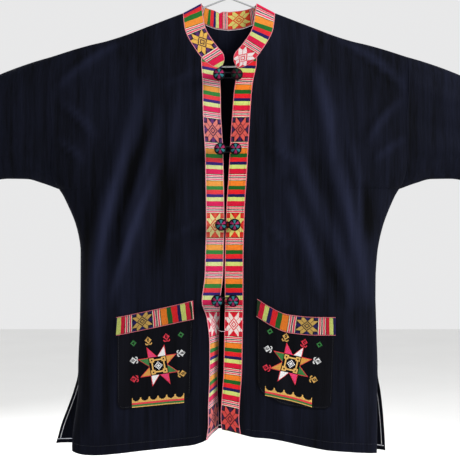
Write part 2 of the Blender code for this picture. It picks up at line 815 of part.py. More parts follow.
def add_hanger():
    """The bent wire: two arms, rounded ends and a straight bar, then the neck and hook."""
    slope = math.degrees(math.atan(ARM_SLOPE))
    low = BAR_Z + END_BEND
    end_x = ARM_REACH - 4.0
    right = []
    for share in (0.02, 0.12, 0.35, 0.6, 0.82):
        across = ARM_REACH * share
        right.append((across, 0.0, APEX_Z - ARM_SLOPE * across))
    shoulder = (end_x, APEX_Z - ARM_SLOPE * end_x - END_BEND / math.cos(math.radians(slope)))
    right += bend((shoulder[0], shoulder[1]), END_BEND, 90.0 - slope, -10.0, 5)
    right += bend((end_x - 3.0, low), END_BEND, -12.0, -90.0, 4)
    right += [(across, 0.0, BAR_Z) for across in (120.0, 60.0)]
    left = [(-x, y, z) for x, y, z in reversed(right)]
    path = right + [(0.0, 0.0, BAR_Z)] + left
    add_tube("hanger_frame", path, WIRE_RADIUS, WIRE_SIDES, True, "coated_wire", COATED_WIRE)
    foot = right[0][2] + WIRE_RADIUS + GAP
    hook = [(0.0, 0.0, z) for z in (foot, -68.0, -58.0, -49.0)]
    hook += [(1.6, 0.0, -42.5), (7.0, 0.0, -35.5)]
    steps = 20
    for i in range(steps + 1):
        turn = HOOK_START + (HOOK_END - HOOK_START) * i / steps
        hook.append((HOOK_RADIUS * math.cos(turn), 0.0, HOOK_CENTRE_Z + HOOK_RADIUS * math.sin(turn)))
    add_tube("hanger_hook", hook, WIRE_RADIUS, WIRE_SIDES, False, "coated_wire", COATED_WIRE)


def band_face_y(name, x, z):
    """Outer face of a front band at a place."""
    side_x = curve_value(OUTLINE, "front_" + name, z)
    return cloth_y("front", x, z, side_x) - GAP - BAND_WALL


def add_button(name, x, z, face_y):
    """A ball on a short shank that stands on the band, turned about Y."""
    foot = face_y - GAP
    centre = foot - SHANK_HEIGHT - BUTTON_RADIUS
    start = math.asin(SHANK_RADIUS / BUTTON_RADIUS)
    rings = [(SHANK_RADIUS, foot)]
    steps = 6
    for i in range(steps):
        turn = start + (math.pi - start) * i / steps
        rings.append((BUTTON_RADIUS * math.sin(turn), centre + BUTTON_RADIUS * math.cos(turn)))
    points = [(x, foot, z)]
    for radius, y in rings:
        for i in range(BUTTON_SIDES):
            turn = 2.0 * math.pi * i / BUTTON_SIDES
            points.append((x + radius * math.cos(turn), y, z + radius * math.sin(turn)))
    points.append((x, centre - BUTTON_RADIUS, z))
    faces = []
    for i in range(BUTTON_SIDES):
        after = (i + 1) % BUTTON_SIDES
        faces.append((0, 1 + i, 1 + after))
        for r in range(len(rings) - 1):
            low = 1 + r * BUTTON_SIDES
            high = low + BUTTON_SIDES
            faces.append((low + i, high + i, high + after, low + after))
        last = 1 + (len(rings) - 1) * BUTTON_SIDES
        faces.append((last + i, len(points) - 1, last + after))
    made = add_mesh(name, points, faces, "button_thread", THREAD)
    face_out(made)


def add_loop(name, pair, face_y):
    """A cord round the two shanks of a pair, lying on the bands."""
    y = face_y - GAP - CORD_RADIUS
    path = []
    steps = 6
    for x, start in ((pair.right, 0.5), (pair.left, 1.5)):
        for i in range(steps + 1):
            turn = math.pi * (start - i / steps)
            aside = CORD_ROUND * math.cos(turn)
            path.append((x + aside, y, pair.height + CORD_ROUND * math.sin(turn)))
    add_tube(name, path, CORD_RADIUS, 6, True, "loop_cord", CORD)


def add_fastenings():
    for i, pair in enumerate(PAIRS):
        left_y = band_face_y("left", pair.left, pair.height)
        right_y = band_face_y("right", pair.right, pair.height)
        face_y = min(left_y, right_y) - GAP
        add_button("button_left_%d" % (i + 1), pair.left, pair.height, face_y)
        add_button("button_right_%d" % (i + 1), pair.right, pair.height, face_y)
        add_loop("loop_%d" % (i + 1), pair, face_y)


def build():
    clear_scene()
    fronts = {}
    for name, sign in (("left", -1.0), ("right", 1.0)):
        grid = front_grid(name)
        normals = grid_normals(grid, (0.0, -1.0, 0.0))
        neck = len(NECK_FRONT) - 1
        seam_normals(normals, grid.shape[1] - 1, sign, range(neck, grid.shape[1]))
        add_front(name, grid, normals)
        add_front_band(name, grid, normals)
        fronts[name] = grid
    left_half = back_half("left")
    right_half = back_half("right")
    back = add_back(left_half, right_half)
    add_sleeve("left", fronts["left"][:, -1], left_half[:, -1])
    add_sleeve("right", fronts["right"][:, -1], right_half[:, -1])
    add_collar(fronts["left"], fronts["right"], back, left_half.shape[1] - 1)
    add_patch("pocket_left", fronts["left"], POCKET_LEFT, MOUTH_LEFT, GAP, POCKET_WALL,
              "cotton_pocket", COTTON)
    add_patch("pocket_right", fronts["right"], POCKET_RIGHT, MOUTH_RIGHT, GAP, POCKET_WALL,
              "cotton_pocket", COTTON)
    over = 2 * GAP + POCKET_WALL
    add_patch("pocket_band_left", fronts["left"], POCKET_BAND_LEFT, MOUTH_LEFT, over, BAND_WALL,
              "woven_pocket_band", WOVEN)
    add_patch("pocket_band_right", fronts["right"], POCKET_BAND_RIGHT, MOUTH_RIGHT, over, BAND_WALL,
              "woven_pocket_band", WOVEN)
    add_fastenings()
    add_hanger()


build()
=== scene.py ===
import math
from collections import namedtuple
from functools import partial, partialmethod

import bmesh
import bpy
import numpy as np
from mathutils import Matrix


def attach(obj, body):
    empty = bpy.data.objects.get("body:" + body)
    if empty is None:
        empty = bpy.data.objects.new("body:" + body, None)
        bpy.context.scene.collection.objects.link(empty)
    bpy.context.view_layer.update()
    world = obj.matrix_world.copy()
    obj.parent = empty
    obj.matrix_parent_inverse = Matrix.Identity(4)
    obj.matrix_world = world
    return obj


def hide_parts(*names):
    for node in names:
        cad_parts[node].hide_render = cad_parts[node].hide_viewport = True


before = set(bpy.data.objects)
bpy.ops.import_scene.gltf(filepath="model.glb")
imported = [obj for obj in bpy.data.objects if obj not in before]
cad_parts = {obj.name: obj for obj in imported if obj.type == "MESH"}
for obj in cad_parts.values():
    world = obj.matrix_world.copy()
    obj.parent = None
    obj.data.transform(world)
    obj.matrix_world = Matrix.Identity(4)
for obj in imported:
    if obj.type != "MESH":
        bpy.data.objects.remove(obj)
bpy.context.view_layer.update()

# Lengths are in millimetres until a mesh is written. X runs right as the front is seen, Y back, Z up.
MM = 0.001
# Finished pieces, and the seams to be stitched on them
ready = {}
stitched = []
overlocked = []
SIDES = {"left": -1, "right": 1}


def table(fields, text):
    """Rows of numbers under the names of their columns."""
    row = namedtuple("Row", fields)
    return [row(*map(float, line.split())) for line in text.strip().splitlines()]


# Camera and stage, as far as the photograph shows them
CAMERA_X = 1.75
CAMERA_Y = -2000
CAMERA_Z = -485.5
FRAME_WIDTH = 805
SENSOR_WIDTH = 36
FLOOR_Z = -1180
FLOOR_REACH = 6000
# Place, size in metres and power of each lamp, and the height at which all are aimed
LAMPS = (((1500, -900, 350), 0.8, 75), ((-1100, -1500, 200), 1.2, 14), ((-1300, 1200, 300), 1.2, 55))
AIM_Z = -480
# How much lighter than its base colour a lit face shows
LAMP_LIGHT = 2.1

# The photograph's pixels: size, centre line and upper edge. The fronts stand nearer than the middle of the
# jacket, so they look larger, and their places are brought back by the last share.
PIXEL = 1.75
CENTRE_PIXEL = 229
TOP_Z = -83
NEARNESS = 0.979

# Cloth and seams
CLOTH = 1
BAND_CLOTH = 0.9
POCKET_CLOTH = 1.2
COLLAR_CLOTH = 1.8
SOLID_BAND_CLOTH = 1
GAP = 0.3
HALF_GAP = GAP / 2
STITCH_SINK = 0.04
BAND_WIDTH = 31.5
BAND_COLUMNS = 3
# Rows or columns of a finished surface for each one of its solid
FINE = 4
# Drop from the ridge over which the folds reach their full height
FOLD_START = 60
FORWARD = (0, -1, 0)

# Hanger's arms, under the shoulders
APEX_Z = -79.5
ARM_SLOPE = math.tan(math.radians(21))
CLOTH_OVER_WIRE = 4.1
WIRE_RADIUS = 1.5
RUBBED_ABOVE = -130

UNDERARM_Z = -414
SLIT_Z = -732
SLIT_OPENING = 15
ARM_DEPTH_FRONT = 24
ARM_DEPTH_BACK = 20
UNDERARM_ROW = 12
SLIT_ROW = 21

RIDGE = table("across height", """
200 -152.1
222 -157
240 -161
272 -170
312 -183
""")

OUTLINE = table("height front_left front_right back_left back_right", """
-878 271 257 306 276
-858 274 257 304.5 274.5
-830 271 258 296 273
-800 267 258.5 284.5 270
-769 263.5 259 273 266
-732 264 260 264 260
-660 261.5 258 261.5 258
-560 260 257 260 257
-512 260.5 261.5 260.5 261.5
-473 269 271 269 271
-440 283 284 283 284
-423 291.5 292 291.5 292
-414 297.5 297.5 297.5 297.5
-310 306 306 306 306
-235 311 311 311 311
-183 312 312 312 312
""")

EDGE = table("height left right", """
-845 -22 -10
-812 -18.5 -14
-775 -20.5 -12.5
-735 -20.5 -9.5
-665 -18 -8
-605 -15 -7
-575 -10.8 -7
-540 -9.8 -7
-477 -8 -5.3
-440 -8.2 -4
-395 -9 -1
-345 -10 1.5
-290 -13 4.5
-225 -13 9
-200 -14 14
""")

# Width of each front band as seen from the front, where its edge turns back towards the wearer
TURN = table("height left right", """
-850 17.5 31.5
-812 17 31.5
-786 16 31.5
-750 13.5 31.5
-700 14.5 31.5
-657 17 31.5
-637 21 31.5
-620 29 31.5
-609 31.5 31.5
-200 31.5 31.5
""")
TURN_FORWARD = 0.24
TURN_REACH = 35

# A height that is not a number lies on the hanger's ridge
NECK_FRONT = table("across height", """
16 -206
27 -203
38 -196.5
48 -187
61 -168.5
70.5 -153
78 -133.5
80.8 -109.4
81 nan
""")
NECK_BACK = table("across height", """
0 -134.5
22 -132
42 -125
60 -117
72 -112
80.6 -109.2
81 nan
""")
SHOULDER_SHARES = (0.14, 0.29, 0.44, 0.59, 0.74, 0.87, 0.96, 0.992, 1)

HEM_FRONT = table("across height", """
-272 -869
-258 -873
-231 -873.5
-196 -870
-150 -864
-93 -857.5
-54 -852
-40 -845
-29 -834
-21 -828.5
-8 -827
12 -832.5
40 -840.5
66 -842.5
90 -846.5
142 -858.5
172 -864
257 -872
""")
HEM_BACK = table("across height", """
-305 -861
-200 -866
-120 -862
-60 -848
-10 -836
40 -846
110 -864
200 -872
276 -874
""")

DEPTH = table("drop front back", """
0 0 0
0.6 1.9 1.9
2.2 3.3 3.3
5 4.3 4.3
14 7 6.5
50 15 12.5
100 22 18
200 31 27
400 38 33
700 44 38
810 45 39
""")

# Folds of each panel: the solids' largest first, then the finer creases of the cloth
FOLD = "x_top z_top x_low z_low bow rise reach"
FOLDS = {"front": table(FOLD, """
-150 -215 -243 -690 -12 8 17
-121 -275 -208 -620 -4 7 15
-208 -395 -247 -640 -6 6 14
-143 -300 -215 -560 -4 -5 14
-100 -330 -140 -570 3 -4 16
75 -225 88 -400 2 4.5 14
142 -195 176 -370 3 6 15
105 -345 213 -625 6 8 16
166 -335 240 -625 5 8 15
93 -400 146 -595 3 5 14
133 -355 190 -620 4 -5 14
-120 -357 -209 -610 -3 4.5 7
-173 -348 -226 -576 -4 -3.5 7
-88 -215 -104 -420 -3 3 9
-182 -560 -205 -840 4 3 13
-224 -600 -238 -850 -3 3.5 10
-84 -640 -92 -850 3 3 12
-187 -155 -303 -240 -8 5 8
-300 -262 -232 -330 6 4 8
-306 -330 -250 -372 5 3.5 7
-58 -206 -132 -236 3 2.2 6
-58 -470 -120 -500 3 2 6
187 -155 303 -240 8 5 8
296 -258 236 -336 -6 4 8
306 -326 246 -368 -5 3.5 7
122 -461 156 -610 3 3.5 7
226 -400 236 -510 3 -4 8
208 -330 226 -470 3 3.5 7
60 -330 118 -372 -3 2.2 6
60 -470 112 -520 -3 2 6
86 -650 96 -850 -3 3 12
204 -640 222 -850 4 3.5 12
"""), "back": table(FOLD, """
-162 -225 -236 -700 -8 7.5 18
-96 -260 -118 -800 6 6 19
-30 -215 -22 -780 -5 5 18
62 -240 92 -815 7 6.5 19
150 -220 226 -720 9 7.5 18
-130 -330 -176 -760 4 -5 17
112 -300 158 -790 3 -5 17
-187 -158 -300 -244 -7 5 8
187 -158 300 -244 7 5 8
-302 -300 -236 -366 5 4 8
302 -300 236 -366 -5 4 8
-70 -560 -64 -850 4 3.5 10
24 -420 38 -840 5 4 10
188 -420 214 -800 4 4 8
-196 -400 -214 -780 -4 4 8
""")}

SLEEVE = table("top_x top_z low_x low_z front back", """
338 -190.5 327 -403.5 23.5 19.5
376 -203.5 354 -396.5 22.5 19
422 -222.5 387 -396 21.5 18
470 -246 426 -403 20 17
520 -273 468 -419 19 16
568 -302 510 -440 18 15
612 -331 549 -465 17 14
""")

# Collar's top edge from its foot, with the length of the woven band that lies there on each side
COLLAR_FRONT = table("inward back up woven_left woven_right", """
4 0.5 3 -31 384
19 3 11.5 -22 374
28 5.5 17.5 -13 360
28.5 7 20 -1 346
29 7 19 21 322
31.5 6 16 37.5 308
34.5 3 12 55.5 290
33 0 17.5 80 266
33 0 17.5 84 262
""")
COLLAR_BACK = table("inward back up woven_left woven_right", """
0 -1 33 172 172
0.5 -1 32.5 143 195
4 -1.5 29 117 215
14 -2 25 103 232
25 -2 21.5 93 245
33 0 18 86 257
""")
COLLAR_ROWS = 4
COLLAR_BEVEL = 1.4
# Place, reach and depth of the dip in the collar's back
DIP_X = -18
DIP_REACH = 5
DIP_DEPTH = 4


def unit(vectors):
    return vectors / np.maximum(np.linalg.norm(vectors, axis=-1, keepdims=True), 1e-9)


def column(rows, name):
    return np.array([getattr(row, name) for row in rows])


def straight(rows, name, at):
    """Straight runs between the rows of a table keyed by its first column."""
    return np.interp(at, column(rows, rows[0]._fields[0]), column(rows, name))


def curve(t, start, end, leaves, arrives):
    """A smooth run from start to end, where t goes from 0 to 1, with its slopes at both ends."""
    rise = start * (1 + 2 * t) * (1 - t) ** 2 + leaves * t * (1 - t) ** 2
    return rise + end * t * t * (3 - 2 * t) + arrives * t * t * (t - 1)


def hermite(keys, values, at):
    at = np.clip(at, keys[0], keys[-1])
    slopes = np.gradient(values, keys)
    low = np.clip(np.searchsorted(keys, at, side="right") - 1, 0, len(keys) - 2)
    span = keys[low + 1] - keys[low]
    t = (at - keys[low]) / span
    return curve(t, values[low], values[low + 1], slopes[low] * span, slopes[low + 1] * span)


def smooth(rows, name, at):
    """A smooth curve through the rows of a table keyed by its first column."""
    return hermite(column(rows, rows[0]._fields[0]), column(rows, name), np.asarray(at, dtype=float))


def ridge_height(x):
    across = np.abs(x)
    lift = CLOTH_OVER_WIRE / math.cos(math.atan(ARM_SLOPE))
    arm = APEX_Z - ARM_SLOPE * across + lift
    return np.where(across <= RIDGE[0].across, arm, straight(RIDGE, "height", across))


def fold_rise(panel, x, z):
    total = np.zeros_like(x)
    for fold in FOLDS[panel]:
        length = math.hypot(fold.x_low - fold.x_top, fold.z_low - fold.z_top)
        run_x = (fold.x_low - fold.x_top) / length
        run_z = (fold.z_low - fold.z_top) / length
        away_x = x - fold.x_top
        away_z = z - fold.z_top
        t = np.clip((away_x * run_x + away_z * run_z) / length, 0, 1)
        aside = away_z * run_x - away_x * run_z - fold.bow * 4 * t * (1 - t)
        total += fold.rise * np.sin(math.pi * t) ** 0.7 * np.exp(-(aside / fold.reach) ** 2)
    return total


def edge_depth(panel, drop, z):
    full = ARM_DEPTH_FRONT if panel == "front" else ARM_DEPTH_BACK
    share = np.clip(drop / np.maximum(drop + z - UNDERARM_Z, 1e-6), 0, 1)
    lens = np.sqrt(np.maximum(0, 1 - np.abs(2 * share - 1) ** 2.6))
    open_share = np.clip((SLIT_Z - z) / (SLIT_Z - HEM_FRONT[0].height), 0, 1)
    return np.where(z > UNDERARM_Z, full * lens, SLIT_OPENING * open_share ** 0.8)


def seen_width(name, z):
    return np.minimum(smooth(TURN, name, z), BAND_WIDTH)


def turn_back(x, z):
    """How far the left front's edge lies behind the panel, with the cloth beside it a little before it."""
    edge = smooth(EDGE, "left", z)
    width = seen_width("left", z)
    depth = np.sqrt(BAND_WIDTH ** 2 - width ** 2)
    place = (x - edge + width) / width
    beside = -TURN_FORWARD * np.exp(-(place * width / TURN_REACH) ** 2)
    turned = depth * np.where(place < 0, beside, np.minimum(place, 1) - TURN_FORWARD)
    return np.where(x > (edge + smooth(EDGE, "right", z)) / 2, 0, turned)


def cloth_y(panel, name, x, z):
    """Outer face of one side of a body panel at places."""
    side_x = smooth(OUTLINE, panel + "_" + name, z)
    drop = np.maximum(0, ridge_height(x) - z)
    deep = straight(DEPTH, panel, drop)
    share = np.minimum(np.abs(x) / side_x, 1)
    fullness = np.sqrt(np.maximum(0, 1 - share ** 4))
    edge = edge_depth(panel, drop, z)
    fold = fold_rise(panel, x, z) * fullness * np.minimum(1, drop / FOLD_START)
    deep = edge + (deep - edge) * fullness + fold
    if panel == "front":
        deep = deep - turn_back(x, z)
    deep = np.maximum(deep, HALF_GAP)
    return -deep if panel == "front" else deep


def row_heights(top, hem):
    heights = [top - drop for drop in (0, 0.6, 2.2, 5, 14)]
    start = heights[-1]
    for share in (0.15, 0.32, 0.49, 0.66, 0.82, 0.92, 0.98, 1):
        heights.append(start + (UNDERARM_Z - start) * share)
    for share in (0.03, 0.09, 0.19, 0.33, 0.47, 0.61, 0.70, 0.84, 1):
        heights.append(UNDERARM_Z + (SLIT_Z - UNDERARM_Z) * share)
    for share in (0.25, 0.5, 0.75, 1):
        heights.append(SLIT_Z + (hem - SLIT_Z) * share)
    return np.array(heights)


def spread(count):
    shares = [1 - (1 - i / count) ** 1.3 for i in range(count)]
    return shares + [0.988, 1]


def shoulder_tops(neck):
    tops = []
    for row in neck:
        tops.append((row.across, float(ridge_height(row.across)) if math.isnan(row.height) else row.height))
    neck_x = neck[-1].across
    for share in SHOULDER_SHARES:
        across = neck_x + (RIDGE[-1].across - neck_x) * share
        tops.append((across, float(ridge_height(across))))
    return tops


def column_line(top, place, hem_table, mirror):
    top_x = top[0] * mirror
    shift = top_x - float(place(top[1]))
    hem = float(straight(hem_table, "height", float(place(hem_table[0].height))))
    z = row_heights(top[1], hem)
    fade = np.exp(-((top[1] - z) / 70) ** 1.5)
    return np.stack((place(z) + shift * fade, z), axis=1)


def panel_lines(panel, name):
    """Places (x, z) of a body panel's rows and columns, as its solid has them."""
    mirror = SIDES[name]
    front = panel == "front"
    neck, hems, band = (NECK_FRONT, HEM_FRONT, BAND_COLUMNS) if front else (NECK_BACK, HEM_BACK, 0)
    tops = shoulder_tops(neck)
    shares = spread(len(tops) - 2 - band)
    columns = []
    for k, top in enumerate(tops):
        def place(z, k=k):
            start = 0
            if band:
                start = smooth(EDGE, name, z) + mirror * seen_width(name, z) * min(k, band) / band
            if k < band:
                return start
            return start + (mirror * smooth(OUTLINE, panel + "_" + name, z) - start) * shares[k - band]
        columns.append(column_line(top, place, hems, mirror))
    return np.stack(columns, axis=1)


def refine(values, times, axis):
    """More rows or columns on smooth curves through a grid's own, without overshoot."""
    moved = np.moveaxis(values, axis, 0)
    steps = np.diff(moved, axis=0)
    slopes = np.zeros_like(moved)
    same = steps[:-1] * steps[1:] > 0
    total = np.where(same, steps[:-1] + steps[1:], 1)
    slopes[1:-1] = np.where(same, 2 * steps[:-1] * steps[1:] / total, 0)
    slopes[0] = steps[0]
    slopes[-1] = steps[-1]
    at = np.linspace(0, len(moved) - 1, (len(moved) - 1) * times + 1)
    low = np.minimum(at.astype(int), len(moved) - 2)
    t = (at - low).reshape((-1,) + (1,) * (moved.ndim - 1))
    return np.moveaxis(curve(t, moved[low], moved[low + 1], slopes[low], slopes[low + 1]), 0, axis)


def lift(panel, name):
    """Outer points of a panel over its fine places."""
    places = refine(refine(panel_lines(panel, name), FINE, 0), FINE, 1)
    x = places[..., 0]
    z = places[..., 1]
    return np.stack((x, cloth_y(panel, name, x, z), z), axis=-1)


def outwards(normals, way):
    """The normals, turned over if they run against a way as a whole."""
    return -normals if (normals * way).sum() < 0 else normals


def grid_normals(grid, way=0):
    return outwards(unit(np.cross(np.gradient(grid, axis=1), np.gradient(grid, axis=0))), way)


def square_seams(normals, side, sign, ridge_columns):
    """Turn a wall's edge normals so that it meets its neighbours squarely at the seams."""
    for k in ridge_columns:
        normals[0, k, 1] = 0
        normals[0, k, 2] = max(normals[0, k, 2], 0.5)
    normals[:UNDERARM_ROW * FINE, side, 0] = 0
    normals[0, side] = (0, 0, 1)
    normals[UNDERARM_ROW * FINE, side] = (0, 0, -1)
    normals[UNDERARM_ROW * FINE + 1:SLIT_ROW * FINE + 1, side] = (sign, 0, 0)
    normals[:] = unit(normals)


def grid_faces(rows, columns, closed=False):
    last = columns if closed else columns - 1
    r, k = np.meshgrid(np.arange(rows - 1), np.arange(last), indexing="ij")
    a = (r * columns + k).ravel()
    b = (r * columns + (k + 1) % columns).ravel()
    return [tuple(face) for face in np.stack((a, b, b + columns, a + columns), axis=1).tolist()]


def wind(points, faces, normals):
    """The faces, turned over if they face away from their points' normals."""
    tri = np.array([face[:3] for face in faces])
    way = np.cross(points[tri[:, 1]] - points[tri[:, 0]], points[tri[:, 2]] - points[tri[:, 0]])
    if float((way * normals[tri].sum(axis=1)).sum()) < 0:
        return [tuple(reversed(face)) for face in faces]
    return faces


def placed(name, data):
    made = bpy.data.objects.new(name, data)
    bpy.context.collection.objects.link(made)
    return made


def add_mesh(name, points, faces, look, pattern=None, mend=False):
    """A piece of points and faces in millimetres; mend turns its faces outwards."""
    mesh = bpy.data.meshes.new(name)
    mesh.from_pydata((np.asarray(points, dtype=float) * MM).tolist(), [], faces)
    mesh.validate()
    if pattern is not None:
        layer = mesh.attributes.new("pattern", "FLOAT_VECTOR", "POINT")
        layer.data.foreach_set("vector", np.asarray(pattern, dtype=np.float32).ravel())
    mesh.materials.append(look)
    mesh.shade_smooth()
    mesh.set_sharp_from_angle(angle=math.radians(50))
    if mend:
        work = bmesh.new()
        work.from_mesh(mesh)
        bmesh.ops.recalc_face_normals(work, faces=list(work.faces))
        work.to_mesh(mesh)
        work.free()
    ready[name] = made = placed(name, mesh)
    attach(made, "root")
    return made


def fold_fade_and_painted_light(panel, grid):
    """Pattern of the cotton's folds: their height, which lightens the ridges partly as fading and partly as
    painted highlight, and a second one of their right-hand flanks, painted lighter as painted light from the
    lamp on the right.
    """
    x = grid[..., 0]
    z = grid[..., 2]
    painted_lit_flank = fold_rise(panel, x - 5, z) - fold_rise(panel, x + 5, z)
    return np.stack((fold_rise(panel, x, z), painted_lit_flank, np.zeros_like(x)), axis=-1)


def wall(name, grid, normals, near, far, look, pattern=None, slant=None, closed=False):
    """A closed wall between two layers of a grid, moved along its normals by near and far."""
    points = grid.reshape(-1, 3)
    normals = normals.reshape(-1, 3)
    faces = wind(points, grid_faces(*grid.shape[:2], closed), normals)
    count = len(points)
    solid = faces + [tuple(count + i for i in reversed(face)) for face in faces]
    edges = {edge for face in faces for edge in zip(face, face[1:] + face[:1])}
    solid += [(end, start, count + start, count + end) for start, end in edges if (end, start) not in edges]
    slant = 0 if slant is None else slant.reshape(-1, 3)
    layers = np.vstack((points + normals * far, points + normals * near + slant))
    if pattern is not None:
        pattern = np.vstack([pattern.reshape(-1, 3)] * 2)
    return add_mesh(name, layers, solid, look, pattern)


class Field:
    """A number or a colour that varies over a surface: a socket of a material's nodes."""

    def __init__(self, socket):
        self.socket = socket
        self.tree = socket.id_data

    def math(self, operation, *others):
        return made_by(self.tree, "ShaderNodeMath", dict(enumerate((self, *others))), operation=operation)

    __add__ = partialmethod(math, "ADD")
    __sub__ = partialmethod(math, "SUBTRACT")
    __mul__ = partialmethod(math, "MULTIPLY")
    __truediv__ = partialmethod(math, "DIVIDE")
    __mod__ = partialmethod(math, "FLOORED_MODULO")
    __gt__ = partialmethod(math, "GREATER_THAN")
    __lt__ = partialmethod(math, "LESS_THAN")
    __abs__ = partialmethod(math, "ABSOLUTE")


def join(value, socket):
    if isinstance(value, Field):
        value.tree.links.new(value.socket, socket)
    elif isinstance(value, tuple):
        socket.default_value = (*value, 1)[:len(socket.default_value)]
    else:
        socket.default_value = value


def made_by(tree, kind, values, output=0, **settings):
    """What a new node makes of the values joined to its sockets."""
    node = tree.nodes.new(kind)
    for name, setting in settings.items():
        setattr(node, name, setting)
    for socket, value in values.items():
        join(value, node.inputs[socket])
    return Field(node.outputs[output])


def tone(red, green, blue):
    """The base colour that shows as a display colour out of 255 under the stage's lamps."""
    shares = [c / 255 for c in (red, green, blue)]
    linear = [c / 12.92 if c <= 0.04045 else ((c + 0.055) / 1.055) ** 2.4 for c in shares]
    return tuple(c / LAMP_LIGHT for c in linear)


def mixed(share, first, second):
    return made_by(share.tree, "ShaderNodeMix", {0: share, 6: first, 7: second}, 2, data_type="RGBA")


def scaled(colour, amount):
    return made_by(amount.tree, "ShaderNodeVectorMath", {0: colour, "Scale": amount}, operation="SCALE")


def noise(x, y, z, detail=2, roughness=0.5, scale=1):
    place = made_by(x.tree, "ShaderNodeCombineXYZ", {0: x, 1: y, 2: z})
    values = {"Vector": place, "Scale": scale, "Detail": detail, "Roughness": roughness}
    return made_by(x.tree, "ShaderNodeTexNoise", values, "Fac")


def even_noise(place, scale, detail=2, roughness=0.5):
    return noise(*(part * scale for part in place), detail, roughness)


def ramp(value, stops):
    """A colour for each stretch of a number from 0 to 1, from (start, colour) pairs."""
    node = value.tree.nodes.new("ShaderNodeValToRGB")
    node.color_ramp.interpolation = "CONSTANT"
    elements = node.color_ramp.elements
    elements.remove(elements[1])
    for i, (start, colour) in enumerate(stops):
        element = elements[0] if i == 0 else elements.new(start)
        element.position = start
        element.color = (*colour, 1)
    join(value, node.inputs[0])
    return Field(node.outputs[0])


def parts(made, kind="object"):
    """The three numbers of a place: of the object's space, or of the pattern laid on the mesh."""
    tree = made.node_tree
    if kind == "pattern":
        place = made_by(tree, "ShaderNodeAttribute", {}, "Vector", attribute_name="pattern")
    else:
        place = made_by(tree, "ShaderNodeTexCoord", {}, "Object")
    node = tree.nodes.new("ShaderNodeSeparateXYZ")
    join(place, node.inputs[0])
    return [Field(out) for out in node.outputs]


def blank(name, roughness, sheen=0, sheen_tone=(1, 1, 1), specular=0.5):
    made = bpy.data.materials.new(name)
    made.use_nodes = True
    for socket, value in (("Roughness", roughness), ("Sheen Weight", sheen), ("Sheen Roughness", 0.45),
                          ("Sheen Tint", sheen_tone), ("Specular IOR Level", specular)):
        join(value, made.node_tree.nodes["Principled BSDF"].inputs[socket])
    return made


def dress(made, colour, height=None, millimetres=0):
    """Give a material its colour and a raised pattern."""
    shader = made.node_tree.nodes["Principled BSDF"]
    join(colour, shader.inputs["Base Color"])
    if height is not None:
        values = {"Distance": millimetres * MM, "Strength": 1, "Height": height}
        join(made_by(made.node_tree, "ShaderNodeBump", values, "Normal"), shader.inputs["Normal"])
    return made


def wave(value, period):
    return (value * (2 * math.pi / period)).math("SINE")


def cotton_look(name, dark, light):
    """Dark plain-woven cotton: upright slubs and crinkles, close threads, a cool bloom, and folds lightened
    partly as fading and partly as painted highlight.
    """
    made = blank(name, 0.88, 0.012, (0.5, 0.6, 1), 0.04)
    x, y, z = parts(made)
    threads = noise(x * 1100, y * 300, z * 38)
    slubs = noise(x * 260, y * 80, z * 7, 3, 0.6)
    crinkle = noise(x * 75, y * 30, z * 5)
    worn = noise(x * 9, y * 9, z * 6, 3)
    rise, painted_lit_flank, _ = parts(made, "pattern")
    # Painted light: fold ridges are lightened partly as fading and partly as painted highlight, and
    # right-hand flanks as painted light from the right.
    fold_fade_and_highlight = rise * 0.055 + painted_lit_flank * 0.06
    share = slubs * 0.4 + threads * 0.3 + worn * 0.35 + crinkle * 0.5 - 0.55 + fold_fade_and_highlight
    share = share.math("MINIMUM", 1).math("MAXIMUM", 0)
    colour = mixed(share, dark, light)
    weft = wave(z + threads * 0.0003, 0.0009)
    warp = wave(x + slubs * 0.0004, 0.0008)
    height = weft * 0.07 + warp * 0.07 + threads * 0.2 + slubs * 0.55 + crinkle * 2.4
    return dress(made, colour, height, 0.6)


# Stripes of the woven strip: width and display colour, in the order of the strip
STRIPES = table("width red green blue", """
0.9 48 80 34
1.1 248 238 216
2.3 246 88 130
0.9 248 238 216
2.1 122 98 118
0.9 248 238 216
2.3 246 88 130
1.1 248 238 216
0.9 48 80 34
9 250 158 62
7 44 128 52
7.5 240 52 62
5.5 46 26 112
7 224 232 148
9 228 22 84
""")
MODULE = sum(stripe.width for stripe in STRIPES)
PIN_GROUP = sum(stripe.width for stripe in STRIPES[:9])
STAR = 42
STAR_CELLS = 15
SELVEDGE = 14.7
PERIOD = STAR + 2 * MODULE + PIN_GROUP
# Star blocks in turn: display colours of the petals, of the ground and of its corner squares
BLOCK = "petal_r petal_g petal_b ground_r ground_g ground_b square_r square_g square_b"
FRONT_BLOCKS = table(BLOCK, """
232 122 112 46 20 58 92 42 108
240 232 150 232 50 46 240 86 60
246 232 226 234 44 84 224 26 60
226 104 98 40 18 46 84 38 92
""")
COLLAR_BLOCKS = table(BLOCK, """
244 196 96 50 22 60 96 52 118
238 226 130 238 56 40 240 84 50
248 236 234 232 34 66 238 70 96
""")
POCKET_BLOCKS = table(BLOCK, "228 196 122 28 22 66 52 40 128")


